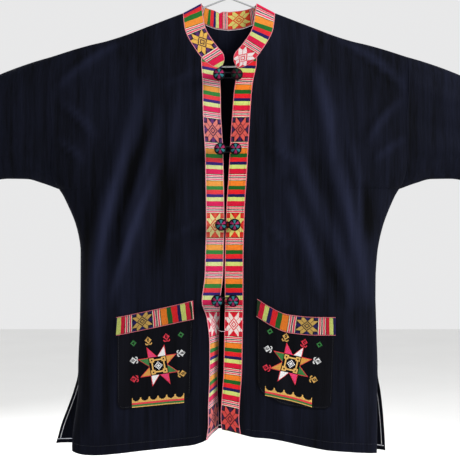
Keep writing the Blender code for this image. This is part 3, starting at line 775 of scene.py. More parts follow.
def woven_look(name, blocks, depth, gain):
    """A striped strip with an eight-petalled star in each long block; its pattern is in millimetres.

    A larger depth gives deeper, duller colours, and the gain lightens or darkens them all; on the right front
    band they paint shade, making it a darker, shaded copy of the left band's strip.
    """
    # Colours deepened and darkened by depth and gain; for the right front band this is painted shade.
    def dyed_and_shaded(*display):
        return tuple(gain * c ** depth for c in tone(*display))

    made = blank(name, 0.8, 0.02, (1, 0.9, 0.9), 0.12)
    across, along, _ = parts(made, "pattern")
    drift = noise(across * 0.08, along * 0.12, 0) - 0.5
    fine = noise(across * 0.5, along * 0.5, 0) - 0.5
    run = along + drift * 1.5 + fine * 0.5
    place = run % PERIOD
    stripe = ((place - STAR) % MODULE) / MODULE
    stops = []
    start = 0
    for row in STRIPES:
        stops.append((start / MODULE, dyed_and_shaded(*row[1:])))
        start += row.width
    striped = ramp(stripe, stops)
    number = (run / PERIOD).math("FLOOR") + 0.5
    number = (number / float(len(blocks))).math("MINIMUM", 0.999).math("MAXIMUM", 0)
    petal, ground, square = (
        ramp(number, [(i / len(blocks), dyed_and_shaded(*block[part:part + 3])) for i, block in enumerate(blocks)])
        for part in (0, 3, 6))
    q = abs(place / (STAR / 2) - 1)
    p = abs((across + fine * 0.4) / (BAND_WIDTH / 2))
    q = (q * STAR_CELLS).math("ROUND") / STAR_CELLS
    p = (p * STAR_CELLS).math("ROUND") / STAR_CELLS
    low = p.math("MINIMUM", q)
    high = p.math("MAXIMUM", q)
    petals = (high - low > 0.04) * (high - low < 0.47) * (low < 0.55) * (low > 0.03) * (low + high > 0.56)
    around = p + q
    rings = (around > 0.28) * (around < 0.45)
    core = (around < 0.16) * (around > 0.05)
    corners = (low > 0.68).math("MAXIMUM", (low < 0.15) * (high > 0.66))
    star = mixed(corners, ground, square)
    star = mixed(petals.math("MAXIMUM", rings), star, petal)
    star = mixed(core, star, petal)
    colour = mixed(place < STAR, striped, star)
    colour = mixed(abs(across) > SELVEDGE, colour, dyed_and_shaded(236, 150, 160))
    yarns = noise(across * 0.05, along * 1.5, 0)
    wear = noise(across * 0.3, along * 0.2, 3, 3)
    colour = scaled(colour, yarns * 0.55 + wear * 0.35 + 0.52)
    ribs = wave(along + fine * 0.4, 1.05)
    twill = wave(across + fine * 0.3, 1.2)
    return dress(made, colour, ribs * 0.5 + twill * 0.3 + yarns * 0.8 + (place < STAR) * fine * 1.5, 0.3)


def thread_look(name, colour):
    """Glossy embroidery thread laid side by side."""
    made = blank(name, 0.5, 0.03, specular=0.25)
    x, y, z = place = parts(made)
    strands = wave(x * 0.93 + z * 0.37 + y * 0.2, 0.00055)
    mottle = even_noise(place, 500)
    colour = scaled(colour, strands * 0.1 + mottle * 0.5 + 0.7)
    return dress(made, colour, strands * 0.6 + mottle * 0.5, 0.18)


def ball_look(name, first, second, base):
    """Black cloth ball with fans of thread about its front; its pattern is the way out from the centre."""
    made = blank(name, 0.7, 0, (0.8, 0.9, 1), 0.06)
    x, y, z = place = parts(made, "pattern")
    turn = z.math("ARCTAN2", x) / (2 * math.pi) + 1
    radius = (x * x + z * z).math("SQRT")
    sector = ((turn - 0.25) * 6 + 0.5) % 2
    inside = abs((sector % 1) - 0.5)
    fan = (inside < radius * -0.15 + 0.42) * (radius > 0.16) * (radius < 0.8) * (y < 0)
    colour = mixed(sector < 1, second, first)
    strands = wave(turn, 1 / 72)
    fuzz = even_noise(place, 9, 3)
    wraps = wave(radius + fuzz * 0.02, 0.085)
    colour = mixed(fan, base, colour)
    colour = scaled(colour, strands * 0.18 + fuzz * 0.9 + 0.4)
    return dress(made, colour, strands * 0.5 * radius + wraps * 0.4 + fan * 0.8 + fuzz, 0.35)


def cord_look(name):
    made = blank(name, 0.7, 0, (0.8, 0.85, 1), 0.06)
    fibres = even_noise(parts(made), 1500)
    return dress(made, scaled((0.006, 0.006, 0.009), fibres * 1.2 + 0.4), fibres, 0.2)


def wire_look(name):
    """Pale plastic coat: faint mottling, and grey where it has rubbed, as on the hook and the upper arms."""
    made = blank(name, 0.38)
    place = parts(made)
    mottle = even_noise(place, 120, 3)
    rubbed = even_noise(place, 30, 4, 0.7) > 0.66
    rubbed = rubbed.math("MAXIMUM", place[2] > RUBBED_ABOVE * MM)
    colour = mixed(rubbed, (0.52, 0.53, 0.53), (0.19, 0.195, 0.2))
    return dress(made, scaled(colour, mottle * 0.2 + 0.9), mottle, 0.1)


# Heights at which the front bands' stripes are known, with the strip's length there
FRONT_RUN = table("height along", """
-897.6 615
-813 530
-648 360
-477 190.5
-312.5 21
-190 -103
""")
# How far a front band's stripes fall from its outer edge to the front edge
FRONT_FALL = table("height left right", """
-840 -12.5 -8.5
-760 -9 -6
-690 -3.5 -3
-600 0 0
-420 0.5 0
-330 3 0.5
-260 5.5 0
-206 6.5 -1
""")


def add_front_band(name, grid, normals, look):
    columns = BAND_COLUMNS * FINE + 1
    band = grid[:, :columns]
    share = np.linspace(1, 0, columns)[None, :] * np.ones((len(band), 1))
    across = (share - 0.5) * BAND_WIDTH
    height = band[:, :, 2] + share * straight(FRONT_FALL, name, band[:, :, 2])
    along = straight(FRONT_RUN, "along", height)
    pattern = np.stack((across, along, np.zeros_like(across)), axis=-1)
    wall("woven_front_" + name, band, normals[:, :columns], GAP, GAP + BAND_CLOTH, look, pattern)


def add_front(name, cloth, strip):
    """One front with its woven strip and its seams."""
    grid = lift("front", name)
    rows, columns, _ = grid.shape
    normals = grid_normals(grid, FORWARD)
    square_seams(normals, columns - 1, SIDES[name], range((len(NECK_FRONT) - 1) * FINE, columns))
    wall("cloth_front_" + name, grid, normals, -CLOTH, 0, cloth, fold_fade_and_painted_light("front", grid))
    add_front_band(name, grid, normals, strip)
    band = BAND_COLUMNS * FINE
    stitch(at_row(grid, normals, rows - 2.8, band + 2, -4))
    for place in (band - 1.35, 1.35):
        stitch(at_column(grid, normals, place, 3, -1), GAP + BAND_CLOTH - STITCH_SINK)
    overlock(at_column(grid, -normals, columns - 5.2, SLIT_ROW * FINE, -1))
    overlock(at_row(grid, -normals, rows - 2.2, 2, -2))
    return grid


def add_back(cloth):
    """The back in one piece, with its seams."""
    halves = {name: lift("back", name) for name in SIDES}
    grid = np.concatenate((halves["left"][:, :0:-1], halves["right"]), axis=1)
    normals = grid_normals(grid, (0, 1, 0))
    rows, columns, _ = grid.shape
    neck = (len(NECK_BACK) - 1) * FINE
    on_ridge = [k for k in range(columns) if abs(k - columns // 2) >= neck]
    square_seams(normals, 0, -1, on_ridge)
    square_seams(normals, columns - 1, 1, on_ridge)
    wall("cloth_back", grid, normals, -CLOTH, 0, cloth, fold_fade_and_painted_light("back", grid))
    stitch(at_row(grid, normals, rows - 2.8, 3, -3))
    overlock(at_row(grid, -normals, rows - 1.9, 1, -1))
    for place in (4.6, columns - 6.4):
        overlock(at_column(grid, -normals, place, SLIT_ROW * FINE, -1))
    return grid


# Folds along a sleeve: from one section and place round it to another, with a rise and a reach
CREASES = table("from_section from_turn to_section to_turn rise reach", """
0.2 0.1 5.5 0.16 3.5 0.03
0 0.24 4.2 0.3 -3 0.035
0.4 0.36 6.8 0.33 4 0.03
0 0.45 3 0.42 3 0.022
2 0.2 7 0.22 2.5 0.03
0.2 0.9 5.5 0.84 3.5 0.03
0 0.74 4.6 0.7 -3 0.035
0.5 0.62 6.8 0.66 4 0.03
0 0.55 3.2 0.57 3 0.022
2.2 0.79 7 0.77 2.5 0.03
""")
# How far round a sleeve each fold sways, and the depth from the seams at which the folds are full
SWAY = 0.012
FULL_DEPTH = 12


def sleeve_grid(name, front_column, back_column):
    mirror = SIDES[name]
    last = UNDERARM_ROW * FINE
    ring = np.concatenate((front_column[:last + 1], back_column[last - 1:0:-1]))
    ring[0, 1] = 0
    ring[last, 1] = 0
    ring[:, 0] += mirror * GAP
    shares = (ring[0, 2] - ring[:, 2]) / (ring[0, 2] - ring[last, 2])
    fullness = np.where(ring[:, 1] < 0, -ring[:, 1] / ARM_DEPTH_FRONT, ring[:, 1] / ARM_DEPTH_BACK)
    sections = [ring]
    for row in SLEEVE:
        section = np.zeros_like(ring)
        section[:, 0] = mirror * (row.top_x + (row.low_x - row.top_x) * shares)
        section[:, 1] = np.where(ring[:, 1] < 0, -row.front, row.back) * fullness
        section[:, 2] = row.top_z + (row.low_z - row.top_z) * shares
        sections.append(section)
    grid = refine(np.array(sections), 8, 0)
    section = np.linspace(0, len(sections) - 1, grid.shape[0])[:, None]
    turn = np.where(np.arange(len(ring)) <= last, shares / 2, 1 - shares / 2)[None, :]
    rise = np.zeros(grid.shape[:2])
    for crease in CREASES:
        t = (section - crease.from_section) / (crease.to_section - crease.from_section)
        t = np.clip(t, 0, 1)
        middle = crease.from_turn + (crease.to_turn - crease.from_turn) * t + SWAY * np.sin(5 * t)
        rise += crease.rise * np.sin(math.pi * t) ** 0.7 * np.exp(-((turn - middle) / crease.reach) ** 2)
    round_share = np.clip(np.abs(grid[:, :, 1]) / FULL_DEPTH, 0, 1)
    grid[:, :, 1] += np.sign(grid[:, :, 1]) * rise * round_share
    return grid


def sleeve_normals(grid):
    closed = np.concatenate((grid[:, -1:], grid, grid[:, :1]), axis=1)
    normals = outwards(grid_normals(closed)[:, 1:-1], grid - grid.mean(axis=1, keepdims=True))
    normals[0, :, 0] = 0
    normals[0] = unit(normals[0])
    return normals


def add_sleeve(name, front_column, back_column, cloth):
    grid = sleeve_grid(name, front_column, back_column)
    normals = sleeve_normals(grid)
    wall("cloth_sleeve_" + name, grid, normals, -CLOTH, 0, cloth, closed=True)
    stitch([np.concatenate((line, line[:1])) for line in at_row(grid, normals, len(grid) - 3.6)])


def leans(rows, names, count):
    """The named columns of a table, drawn smoothly at even steps from its first row to its last."""
    keys = np.arange(len(rows), dtype=float)
    at = np.linspace(0, keys[-1], count)
    return np.stack([hermite(keys, column(rows, name), at) for name in names], axis=1)


def woven_runs(rows, count, name):
    keys = np.arange(len(rows), dtype=float)
    return np.interp(np.linspace(0, keys[-1], count), keys, column(rows, name))


def add_collar(left, right, back, look):
    """The stand collar, from its left front end round the back to its right front end."""
    middle = back.shape[1] // 2
    front = (len(NECK_FRONT) - 1) * FINE + 1
    behind = (len(NECK_BACK) - 2) * FINE
    feet = np.concatenate((
        left[0, :front],
        back[0, middle - behind:middle],
        back[0, middle:middle + behind + 1],
        right[0, front - 1::-1],
    ))
    fore, aft = (leans(rows, ("inward", "back", "up"), count)
                 for rows, count in ((COLLAR_FRONT, front), (COLLAR_BACK, behind + 1)))
    inwards = (-1, 1, 1)
    rise = np.concatenate((fore, aft[:0:-1], aft * inwards, fore[::-1] * inwards))
    along = np.concatenate((
        woven_runs(COLLAR_FRONT, front, "woven_left"),
        woven_runs(COLLAR_BACK, behind + 1, "woven_left")[:0:-1],
        woven_runs(COLLAR_BACK, behind + 1, "woven_right"),
        woven_runs(COLLAR_FRONT, front, "woven_right")[::-1],
    ))
    dip = np.exp(-((feet[:, 0] - DIP_X) / DIP_REACH) ** 2) * (feet[:, 1] > 1)
    rise[:, 2] -= DIP_DEPTH * dip
    length = np.linalg.norm(rise, axis=1, keepdims=True)
    tops = feet + rise
    start = feet + rise / length * GAP * 1.6
    rows = COLLAR_ROWS * FINE
    share = np.linspace(0, 1, rows)
    grid = start[None] + (tops - start)[None] * share[:, None, None]
    normals = outwards(grid_normals(grid), grid * (1, 1, 0))
    slant = np.zeros_like(grid)
    slant[0] = rise / length * COLLAR_BEVEL
    slant[-1] = -rise / length * 0.5
    pattern = np.zeros_like(grid)
    pattern[:, :, 0] = ((share - 0.5) * BAND_WIDTH)[:, None]
    pattern[:, :, 1] = along[None, :]
    wall("woven_collar", grid, normals, -COLLAR_CLOTH, 0, look, pattern, slant)


# Pockets: height of the mouth across, then the sides and the lower edge below the mouth's line
MOUTH = {"left": table("across height", """
-193 -635.5
-126 -621.5
-60 -607
"""), "right": table("across height", """
47 -602.5
70 -617
93 -628
122 -633
184 -635.5
""")}
Patch = namedtuple("Patch", "top top_left top_right low_left low_right edge")
POCKET = {"left": Patch(-8, -192, -61, -191.5, -66, table("share below", """
0 -148
0.02 -155
0.07 -160
0.92 -167
0.98 -163.5
1 -158
""")), "right": Patch(-8, 48, 182, 49, 176, table("share below", """
0 -142
0.02 -150
0.065 -155
0.92 -157
0.98 -153
1 -146
"""))}
STRIP = table("share below", "0 -31.5\n1 -31.5")
POCKET_BAND = {
    "left": Patch(0, -193, -61.5, -193, -59.5, STRIP),
    "right": Patch(0, 48.5, 183, 47, 183, STRIP),
}
# Strip's length across each pocket, and how far its stripes lean from the mouth to the lower edge
POCKET_RUN = {"left": table("across along", """
-194 -31
-192.4 -28.5
-184.9 -21.5
-179.3 -12.5
-165.3 0
-131.9 42
-116.3 54.5
-105.7 63.5
-97.6 70.5
-87.6 78
-82 83.5
-73.3 90.5
-67 99.5
-62.6 100.4
-59.5 103.8
"""), "right": table("across along", """
47 100.4
52.6 99.5
59.4 90.5
66.3 83.5
72.4 78
81.3 70.5
89.5 63.5
100.5 54.5
115.6 42
151.8 0
166.9 -12.5
172 -21.5
178.6 -28.5
184 -34
""")}
POCKET_SLANT = {"left": table("across shift", """
-193 -2
-150 1
-100 4
-60 4.5
"""), "right": table("across shift", """
47 -5.5
75 -6.8
115 -4
183 1
""")}


def patch_grid(name, patch, rows, columns):
    """A patch's places, laid on the front panel's outer face."""
    u = np.linspace(0, 1, columns)[None, :]
    v = np.linspace(0, 1, rows)[:, None]
    low = straight(patch.edge, "below", u)
    below = patch.top + (low - patch.top) * v
    left = patch.top_left + (patch.low_left - patch.top_left) * v
    right = patch.top_right + (patch.low_right - patch.top_right) * v
    x = left + (right - left) * u
    z = below + smooth(MOUTH[name], "height", x)
    return np.stack((x, cloth_y("front", name, x, z), z), axis=-1)


def front_at(name, x, z):
    return float(cloth_y("front", name, np.array([x]), np.array([z]))[0])


def add_pocket_band(name, grid, normals, look):
    rows, columns, _ = grid.shape
    v = np.linspace(0, 1, rows)[:, None] * np.ones((1, columns))
    x = grid[:, :, 0]
    straightened = x - straight(POCKET_SLANT[name], "shift", x) * (v - 0.5)
    along = straight(POCKET_RUN[name], "along", straightened)
    pattern = np.stack(((0.5 - v) * BAND_WIDTH, along, np.zeros_like(along)), axis=-1)
    over = 2 * GAP + POCKET_CLOTH
    wall("woven_pocket_" + name, grid, normals, over, over + BAND_CLOTH, look, pattern)


# Ball buttons in pairs, and the hanger
PAIRS = table("height left right", """
-218.5 -17 13.5
-347 -15 11.3
-476.5 -13.5 9.5
-606 -20 7
""")
BUTTON_RADIUS = 10.5
SHANK_RADIUS = 3
SHANK_HEIGHT = 3.6
CORD_RADIUS = 1.2
CORD_ROUND = SHANK_RADIUS + CORD_RADIUS + GAP
CORD_TWIST = 1.6
CORD_PINCH = 0.28
BALL_LUMP = 0.12
HOOK_RADIUS = 19
HOOK_CENTRE_Z = -17.5
ARM_REACH = 196
BAR_Z = -200
END_BEND = 16


def tube(name, path, radius, sides, closed, look, twist=0, pinch=0):
    """A wire along a path; a pinch that twists along it makes two strands of it."""
    path = np.array(path, dtype=float)
    if closed:
        runs = np.roll(path, -1, axis=0) - np.roll(path, 1, axis=0)
    else:
        runs = np.gradient(path, axis=0)
    runs = unit(runs)
    up = (0, 1, 0) if abs(runs[:, 1]).max() < 0.7 else (0, 0, 1)
    side = unit(np.cross(runs, up))
    other = np.cross(side, runs)
    turn = np.linspace(0, 2 * math.pi, sides, endpoint=False)
    step = np.linalg.norm(np.diff(path, axis=0), axis=1)
    length = np.concatenate(([0], np.cumsum(step)))
    lobes = 1 - pinch + pinch * np.abs(np.cos(turn[None, :] - twist * length[:, None]))
    ring = side[:, None, :] * np.cos(turn)[None, :, None] + other[:, None, :] * np.sin(turn)[None, :, None]
    points = (path[:, None, :] + radius * lobes[:, :, None] * ring).reshape(-1, 3)
    count = len(path)
    faces = [tuple(i % len(points) for i in face) for face in grid_faces(count + closed, sides, True)]
    if not closed:
        faces += [tuple(reversed(range(sides))), tuple(range(len(points) - sides, len(points)))]
    add_mesh(name, points, faces, look, mend=True)


def arc(centre, radius, start, end, steps):
    turns = np.radians(np.linspace(start, end, steps + 1))
    return [(centre[0] + radius * math.cos(t), 0, centre[1] + radius * math.sin(t)) for t in turns]


def add_hanger(look):
    slope = math.degrees(math.atan(ARM_SLOPE))
    end_x = ARM_REACH - 4
    right = []
    for share in (0.02, 0.05, 0.12, 0.23, 0.35, 0.47, 0.6, 0.71, 0.82, 0.9):
        across = ARM_REACH * share
        right.append((across, 0, APEX_Z - ARM_SLOPE * across))
    shoulder = (end_x, APEX_Z - ARM_SLOPE * end_x - END_BEND / math.cos(math.radians(slope)))
    right += arc(shoulder, END_BEND, 90 - slope, -10, 12)
    right += arc((end_x - 3, BAR_Z + END_BEND), END_BEND, -12, -90, 10)
    right += [(across, 0, BAR_Z) for across in (160, 120, 80, 40)]
    left = [(-x, y, z) for x, y, z in reversed(right)]
    tube("wire_frame", right + [(0, 0, BAR_Z)] + left, WIRE_RADIUS, 16, True, look)
    foot = right[0][2] + WIRE_RADIUS + GAP
    hook = [(0, 0, z) for z in (foot, -72, -68, -63, -58, -53, -49)]
    hook += [(1.6, 0, -42.5), (3.9, 0, -38.7), (7, 0, -35.5)]
    hook += arc((0, HOOK_CENTRE_Z), HOOK_RADIUS, -45, 200, 48)
    tube("wire_hook", hook, WIRE_RADIUS, 16, False, look)


def add_ball(name, x, z, face_y, look):
    foot = face_y - GAP
    centre = foot - SHANK_HEIGHT - BUTTON_RADIUS
    start = math.asin(SHANK_RADIUS / BUTTON_RADIUS)
    sides = 48
    steps = 28
    rings = [(0.05, foot), (SHANK_RADIUS - 0.3, foot), (SHANK_RADIUS, foot - 0.3)]
    for i in range(steps + 1):
        turn = start + (math.pi - 0.01 - start) * i / steps
        rings.append((BUTTON_RADIUS * math.sin(turn), centre + BUTTON_RADIUS * math.cos(turn)))
    turn = np.linspace(0, 2 * math.pi, sides, endpoint=False)
    grid = np.array([
        np.stack((x + radius * np.cos(turn), np.full(sides, y), z + radius * np.sin(turn)), axis=1)
        for radius, y in rings])
    out = unit((grid - (x, centre, z)).reshape(-1, 3))
    lumps = BALL_LUMP * np.sin(9 * np.arctan2(out[:, 2], out[:, 0])) * (out[:, 1] < 0.9)
    points = grid.reshape(-1, 3) + out * (lumps - BALL_LUMP)[:, None]
    faces = grid_faces(len(rings), sides, closed=True)
    faces += [tuple(range(sides)), tuple(reversed(range(len(points) - sides, len(points))))]
    add_mesh(name, points, faces, look, out, True)


def add_loop(name, pair, face_y, look):
    y = face_y - GAP - CORD_RADIUS
    path = []
    for x, start in ((pair.right, 0.5), (pair.left, 1.5)):
        for i in range(17):
            turn = math.pi * (start - i / 16)
            path.append((x + CORD_ROUND * math.cos(turn), y, pair.height + CORD_ROUND * math.sin(turn)))
        reach = pair.left - pair.right if x == pair.right else pair.right - pair.left
        side = -CORD_ROUND if x == pair.right else CORD_ROUND
        for share in (0.2, 0.4, 0.6, 0.8):
            path.append((x + reach * share, y, pair.height + side))
    tube(name, path, CORD_RADIUS, 12, True, look, CORD_TWIST, CORD_PINCH)


def add_buttons(ball, dark_ball, cord):
    """The pairs of ball buttons, each with its loop; the top right ball is wrapped in darker thread."""
    for i, pair in enumerate(PAIRS, 1):
        faces = [front_at(name, getattr(pair, name), pair.height) for name in SIDES]
        face_y = min(y - GAP - SOLID_BAND_CLOTH for y in faces) - GAP
        for name in SIDES:
            look = dark_ball if i == 1 and name == "right" else ball
            add_ball("ball_%s_%d" % (name, i), getattr(pair, name), pair.height, face_y, look)
        add_loop("cord_%d" % i, pair, face_y, cord)


def surface(name, x, z, lift):
    """Points on a front panel, moved out along its normals."""
    step = 0.5
    face = partial(cloth_y, "front", name)
    y = face(x, z)
    slope_x = (face(x + step, z) - face(x - step, z)) / (2 * step)
    slope_z = (face(x, z + step) - face(x, z - step)) / (2 * step)
    normals = unit(np.stack((slope_x, -np.ones_like(slope_x), slope_z), axis=-1))
    return np.stack((x, y, z), axis=-1) + normals * lift[:, None]


def ring_faces(start, count):
    """Faces between a ring of points and the next ring."""
    ring = [start + i for i in range(count)]
    return [(a, b, b + count, a + count) for a, b in zip(ring, ring[1:] + ring[:1])]


def lid_and_foot(start, count):
    foot = range(start, start + count)
    return [tuple(reversed(foot)), tuple(i + count for i in foot)]


class Threads:
    """Raised shapes of thread on a pocket, gathered into one piece."""

    def __init__(self):
        self.flat = []
        self.faces = []
        self.used = []

    def add(self, outline, tone_name, low, high, inset=0.14):
        """A shape on the pocket's plane, with its foot and its top at heights over the cloth."""
        start = len(self.flat)
        count = len(outline)
        middle_x, middle_z = (sum(values) / count for values in zip(*outline))
        self.flat += [(x, z, low) for x, z in outline]
        for x, z in outline:
            away = max(math.hypot(x - middle_x, z - middle_z), 1e-6)
            keep = 1 - min(inset / away, 0.4)
            self.flat.append((middle_x + (x - middle_x) * keep, middle_z + (z - middle_z) * keep, high))
        self.faces += lid_and_foot(start, count)
        self.faces += ring_faces(start, count)
        self.used += [list(THREADS).index(tone_name)] * (count + 2)

    def finish(self, name, side, looks, over):
        flat = np.array(self.flat)
        points = surface(side, flat[:, 0], flat[:, 1], flat[:, 2] + over)
        made = add_mesh(name, points, self.faces, looks[0], mend=True)
        for look in looks[1:]:
            made.data.materials.append(look)
        made.data.polygons.foreach_set("material_index", self.used)
        made.data.shade_flat()


def seen(px, py):
    """A place on the fronts from its pixel in the photograph."""
    x = CAMERA_X + ((px - CENTRE_PIXEL) * PIXEL - CAMERA_X) * NEARNESS
    z = CAMERA_Z + ((TOP_Z - PIXEL * py) - CAMERA_Z) * NEARNESS
    return x, z


def turned(centre, tilt, x, z):
    c, s = math.cos(math.radians(tilt)), math.sin(math.radians(tilt))
    return centre[0] + x * c - z * s, centre[1] + x * s + z * c


# Charts, a mark for each stitch of colour
BRACKETS = """
.ggg.....ggg.
.g.ggggggg.g.
.ggg.....ggg.
..g.......g..
..g.......g..
..g.......g..
..g.......g..
..g.......g..
.ggg.....ggg.
.g.ggggggg.g.
.ggg.....ggg.
""".split()
LOZENGE = """
...w...
..w.w..
.w.w.w.
w.www.w
.w.w.w.
..w.w..
...w...
""".split()
BUD = """
....b....
...b.b...
..b.b.b..
.bb...bb.
bbb.b.bbb
.bb...bb.
..bb.bb..
...bbb...
b...b...b
bb.b.b.bb
.bbb.bbb.
""".split()
DIAMOND = """
...d...
..ddd..
.dd.dd.
dd...dd
.dd.dd.
..ddd..
...d...
""".split()
# Buds and diamonds by their pixels in the photograph, a bud with its turn and its thread
Star = namedtuple("Star", "px py tilt buds diamonds border teeth")
STARS = {
    "left": Star(
        158.5, 365.5, 9,
        ((148.2, 341, 0, "gold"), (166.4, 337.5, 0, "crimson"), (181.3, 352.8, -90, "white"),
         (182.2, 373.2, -90, "gold"), (134.4, 379.2, 90, "crimson"), (133.8, 360.6, 90, "white")),
        ((133.3, 343.4), (181, 334.6)), ((132, 404), (158, 401.2), (184.2, 398.4)), 7),
    "right": Star(
        290.8, 363.8, -13,
        ((285.5, 337.3, 0, "gold"), (304.2, 343, 0, "crimson"), (317.2, 361.2, -90, "white"),
         (313.6, 379.6, -90, "gold"), (266.5, 367.6, 90, "crimson"), (268, 348.8, 90, "white")),
        ((270, 331.4), (319.4, 344.8)), ((265, 391.6), (288.5, 396.5), (311.8, 403.4)), 6),
}
# Display colours of the embroidery's threads
THREADS = {
    "pink": (242, 30, 108), "white": (255, 255, 255), "orange": (226, 158, 50), "green": (6, 122, 34),
    "red": (244, 26, 54), "gold": (240, 186, 92), "crimson": (246, 26, 62),
}


def chart(threads, centre, tilt, marks, cell, tone_name, high=0.42):
    """A charted motif about its centre, each stitch as a raised bar."""
    for r, row in enumerate(marks):
        for k, mark in enumerate(row):
            if mark == ".":
                continue
            x = (k - (len(row) - 1) / 2) * cell
            z = ((len(marks) - 1) / 2 - r) * cell
            half = cell * 0.49
            corners = ((x - half, z - half), (x + half, z - half), (x + half, z + half), (x - half, z + half))
            threads.add([turned(centre, tilt, *corner) for corner in corners], tone_name, 0.02, high)


def satin(threads, corner, middle, tip, tone_name):
    """A petal of close threads laid across it, over a red petal that edges it."""
    corner, middle, tip = (np.array(point) for point in (corner, middle, tip))
    length = float(np.linalg.norm(tip - (corner + middle) / 2))
    count = max(int(length / 0.8), 2)
    for colour, low, high, narrow, cut in (("red", 0.02, 0.28, 0, 1), (tone_name, 0.1, 0.5, 1.15, 0.84)):
        for i in range(count):
            share = i / count
            after = (i + 0.93) / count
            if after > cut:
                break
            bar = []
            for side, at in ((corner, share), (middle, share), (middle, after), (corner, after)):
                other = middle if side is corner else corner
                place = side + (tip - side) * at
                width = (other - side) * (1 - at)
                wide = float(np.linalg.norm(width))
                bar.append(place + width * min(narrow / max(wide, 1e-6), 0.46))
            threads.add([tuple(point) for point in bar], colour, low, high, 0.1)


# The star's inner square and its petals: corner and side of the square, and the thread of each petal
SQUARE_HALF = 15.6
PETAL_REACH = 18.6
PETALS = (
    ((-1, 1), (0, 1), "pink"), ((1, 1), (0, 1), "white"),
    ((1, 1), (1, 0), "orange"), ((1, -1), (1, 0), "green"),
    ((1, -1), (0, -1), "pink"), ((-1, -1), (0, -1), "white"),
    ((-1, -1), (-1, 0), "orange"), ((-1, 1), (-1, 0), "green"),
)


def add_embroidery(name, looks):
    star = STARS[name]
    threads = Threads()
    centre = seen(star.px, star.py)
    for corner, way, tone_name in PETALS:
        points = (
            [c * SQUARE_HALF for c in corner],
            [w * SQUARE_HALF for w in way],
            [c * SQUARE_HALF + w * PETAL_REACH for c, w in zip(corner, way)],
        )
        satin(threads, *(turned(centre, star.tilt, *point) for point in points), tone_name)
    chart(threads, centre, star.tilt, BRACKETS, 2.55, "gold")
    chart(threads, centre, star.tilt, LOZENGE, 2, "white", 0.45)
    for px, py, turn, tone_name in star.buds:
        chart(threads, seen(px, py), star.tilt + turn, BUD, 1.28, tone_name)
    for place in star.diamonds:
        chart(threads, seen(*place), star.tilt, DIAMOND, 1.5, "green", 0.4)
    add_border(threads, [seen(*point) for point in star.border], star.teeth)
    threads.finish("embroidery_" + name, name, looks, GAP + POCKET_CLOTH)


# The pockets' border: cells along it, the lines' top, bottom and thread, and the teeth's steps
BORDER_CELLS = 60
BORDER = ((3.6, 1.2, "gold"), (1.1, -1.9, "red"), (-2, -4.9, "green"), (-5, -6.6, "gold"))
STEPS = ((3.2, 3.7, 4.9), (1.7, 5, 6.5), (0.8, 6.6, 9.6))


def add_border(threads, ends, teeth):
    """Gold comb of stepped teeth over red, green and gold lines, on a slightly bent run."""
    keys, heights = np.array(ends).T
    bend = np.polyfit(keys, heights, 2)
    cell = (keys[-1] - keys[0]) / BORDER_CELLS
    period = BORDER_CELLS / (teeth - 1)

    def bar(start, end, low, high, colour):
        xs = [keys[0] + at * cell for at in (start, end)]
        run = [(x, float(np.polyval(bend, x))) for x in xs]
        outline = [(x, z + low) for x, z in run] + [(x, z + high) for x, z in reversed(run)]
        threads.add(outline, colour, 0.02, 0.42, 0.12)

    for top, bottom, tone_name in BORDER:
        for i in range(0, BORDER_CELLS, 2):
            bar(i + 0.03, i + 1.97, bottom, top, tone_name)
    for middle in (tooth * period for tooth in range(teeth)):
        for reach, low, high in STEPS:
            bar(max(middle - reach, 0), min(middle + reach, BORDER_CELLS), low, high, "gold")


def add_pocket(name, cloth, strip, threads):
    """One pocket with its woven strip, its embroidery and its seams."""
    grid = patch_grid(name, POCKET[name], 60, 60)
    normals = grid_normals(grid, FORWARD)
    wall("cloth_pocket_" + name, grid, normals, GAP, GAP + POCKET_CLOTH, cloth, fold_fade_and_painted_light("front", grid))
    band = patch_grid(name, POCKET_BAND[name], 13, 60)
    band_normals = grid_normals(band, FORWARD)
    add_pocket_band(name, band, band_normals, strip)
    add_embroidery(name, threads)
    face = GAP + POCKET_CLOTH - STITCH_SINK
    for place in (1.1, 57.9):
        stitch(at_column(grid, normals, place, 10, -2), face)
    stitch(at_row(grid, normals, 57.9, 2, -2), face)
    for row in (0.7, 11.3):
        stitch(at_row(band, band_normals, row, 1, -1), 2 * GAP + POCKET_CLOTH + BAND_CLOTH - STITCH_SINK)


def at_row(grid, normals, row, first=None, last=None):
    """Points and normals along a stretch of a row between two of a grid's own."""
    low = int(math.floor(row))
    share = row - low
    return [(lines[low] * (1 - share) + lines[low + 1] * share)[first:last] for lines in (grid, normals)]


def at_column(grid, normals, place, first=None, last=None):
    return at_row(np.swapaxes(grid, 0, 1), np.swapaxes(normals, 0, 1), place, first, last)


Seam = namedtuple("Seam", "points normals lift pitch length width zigzag")
# A stitch's form: places along it, each with its share of the width and of the height
STITCH = ((0, 0.35, 0), (0.22, 1, 1), (0.78, 1, 1), (1, 0.35, 0))


def along_seam(run, values, away):
    return np.array([np.interp(away, run, values[:, c]) for c in range(3)])


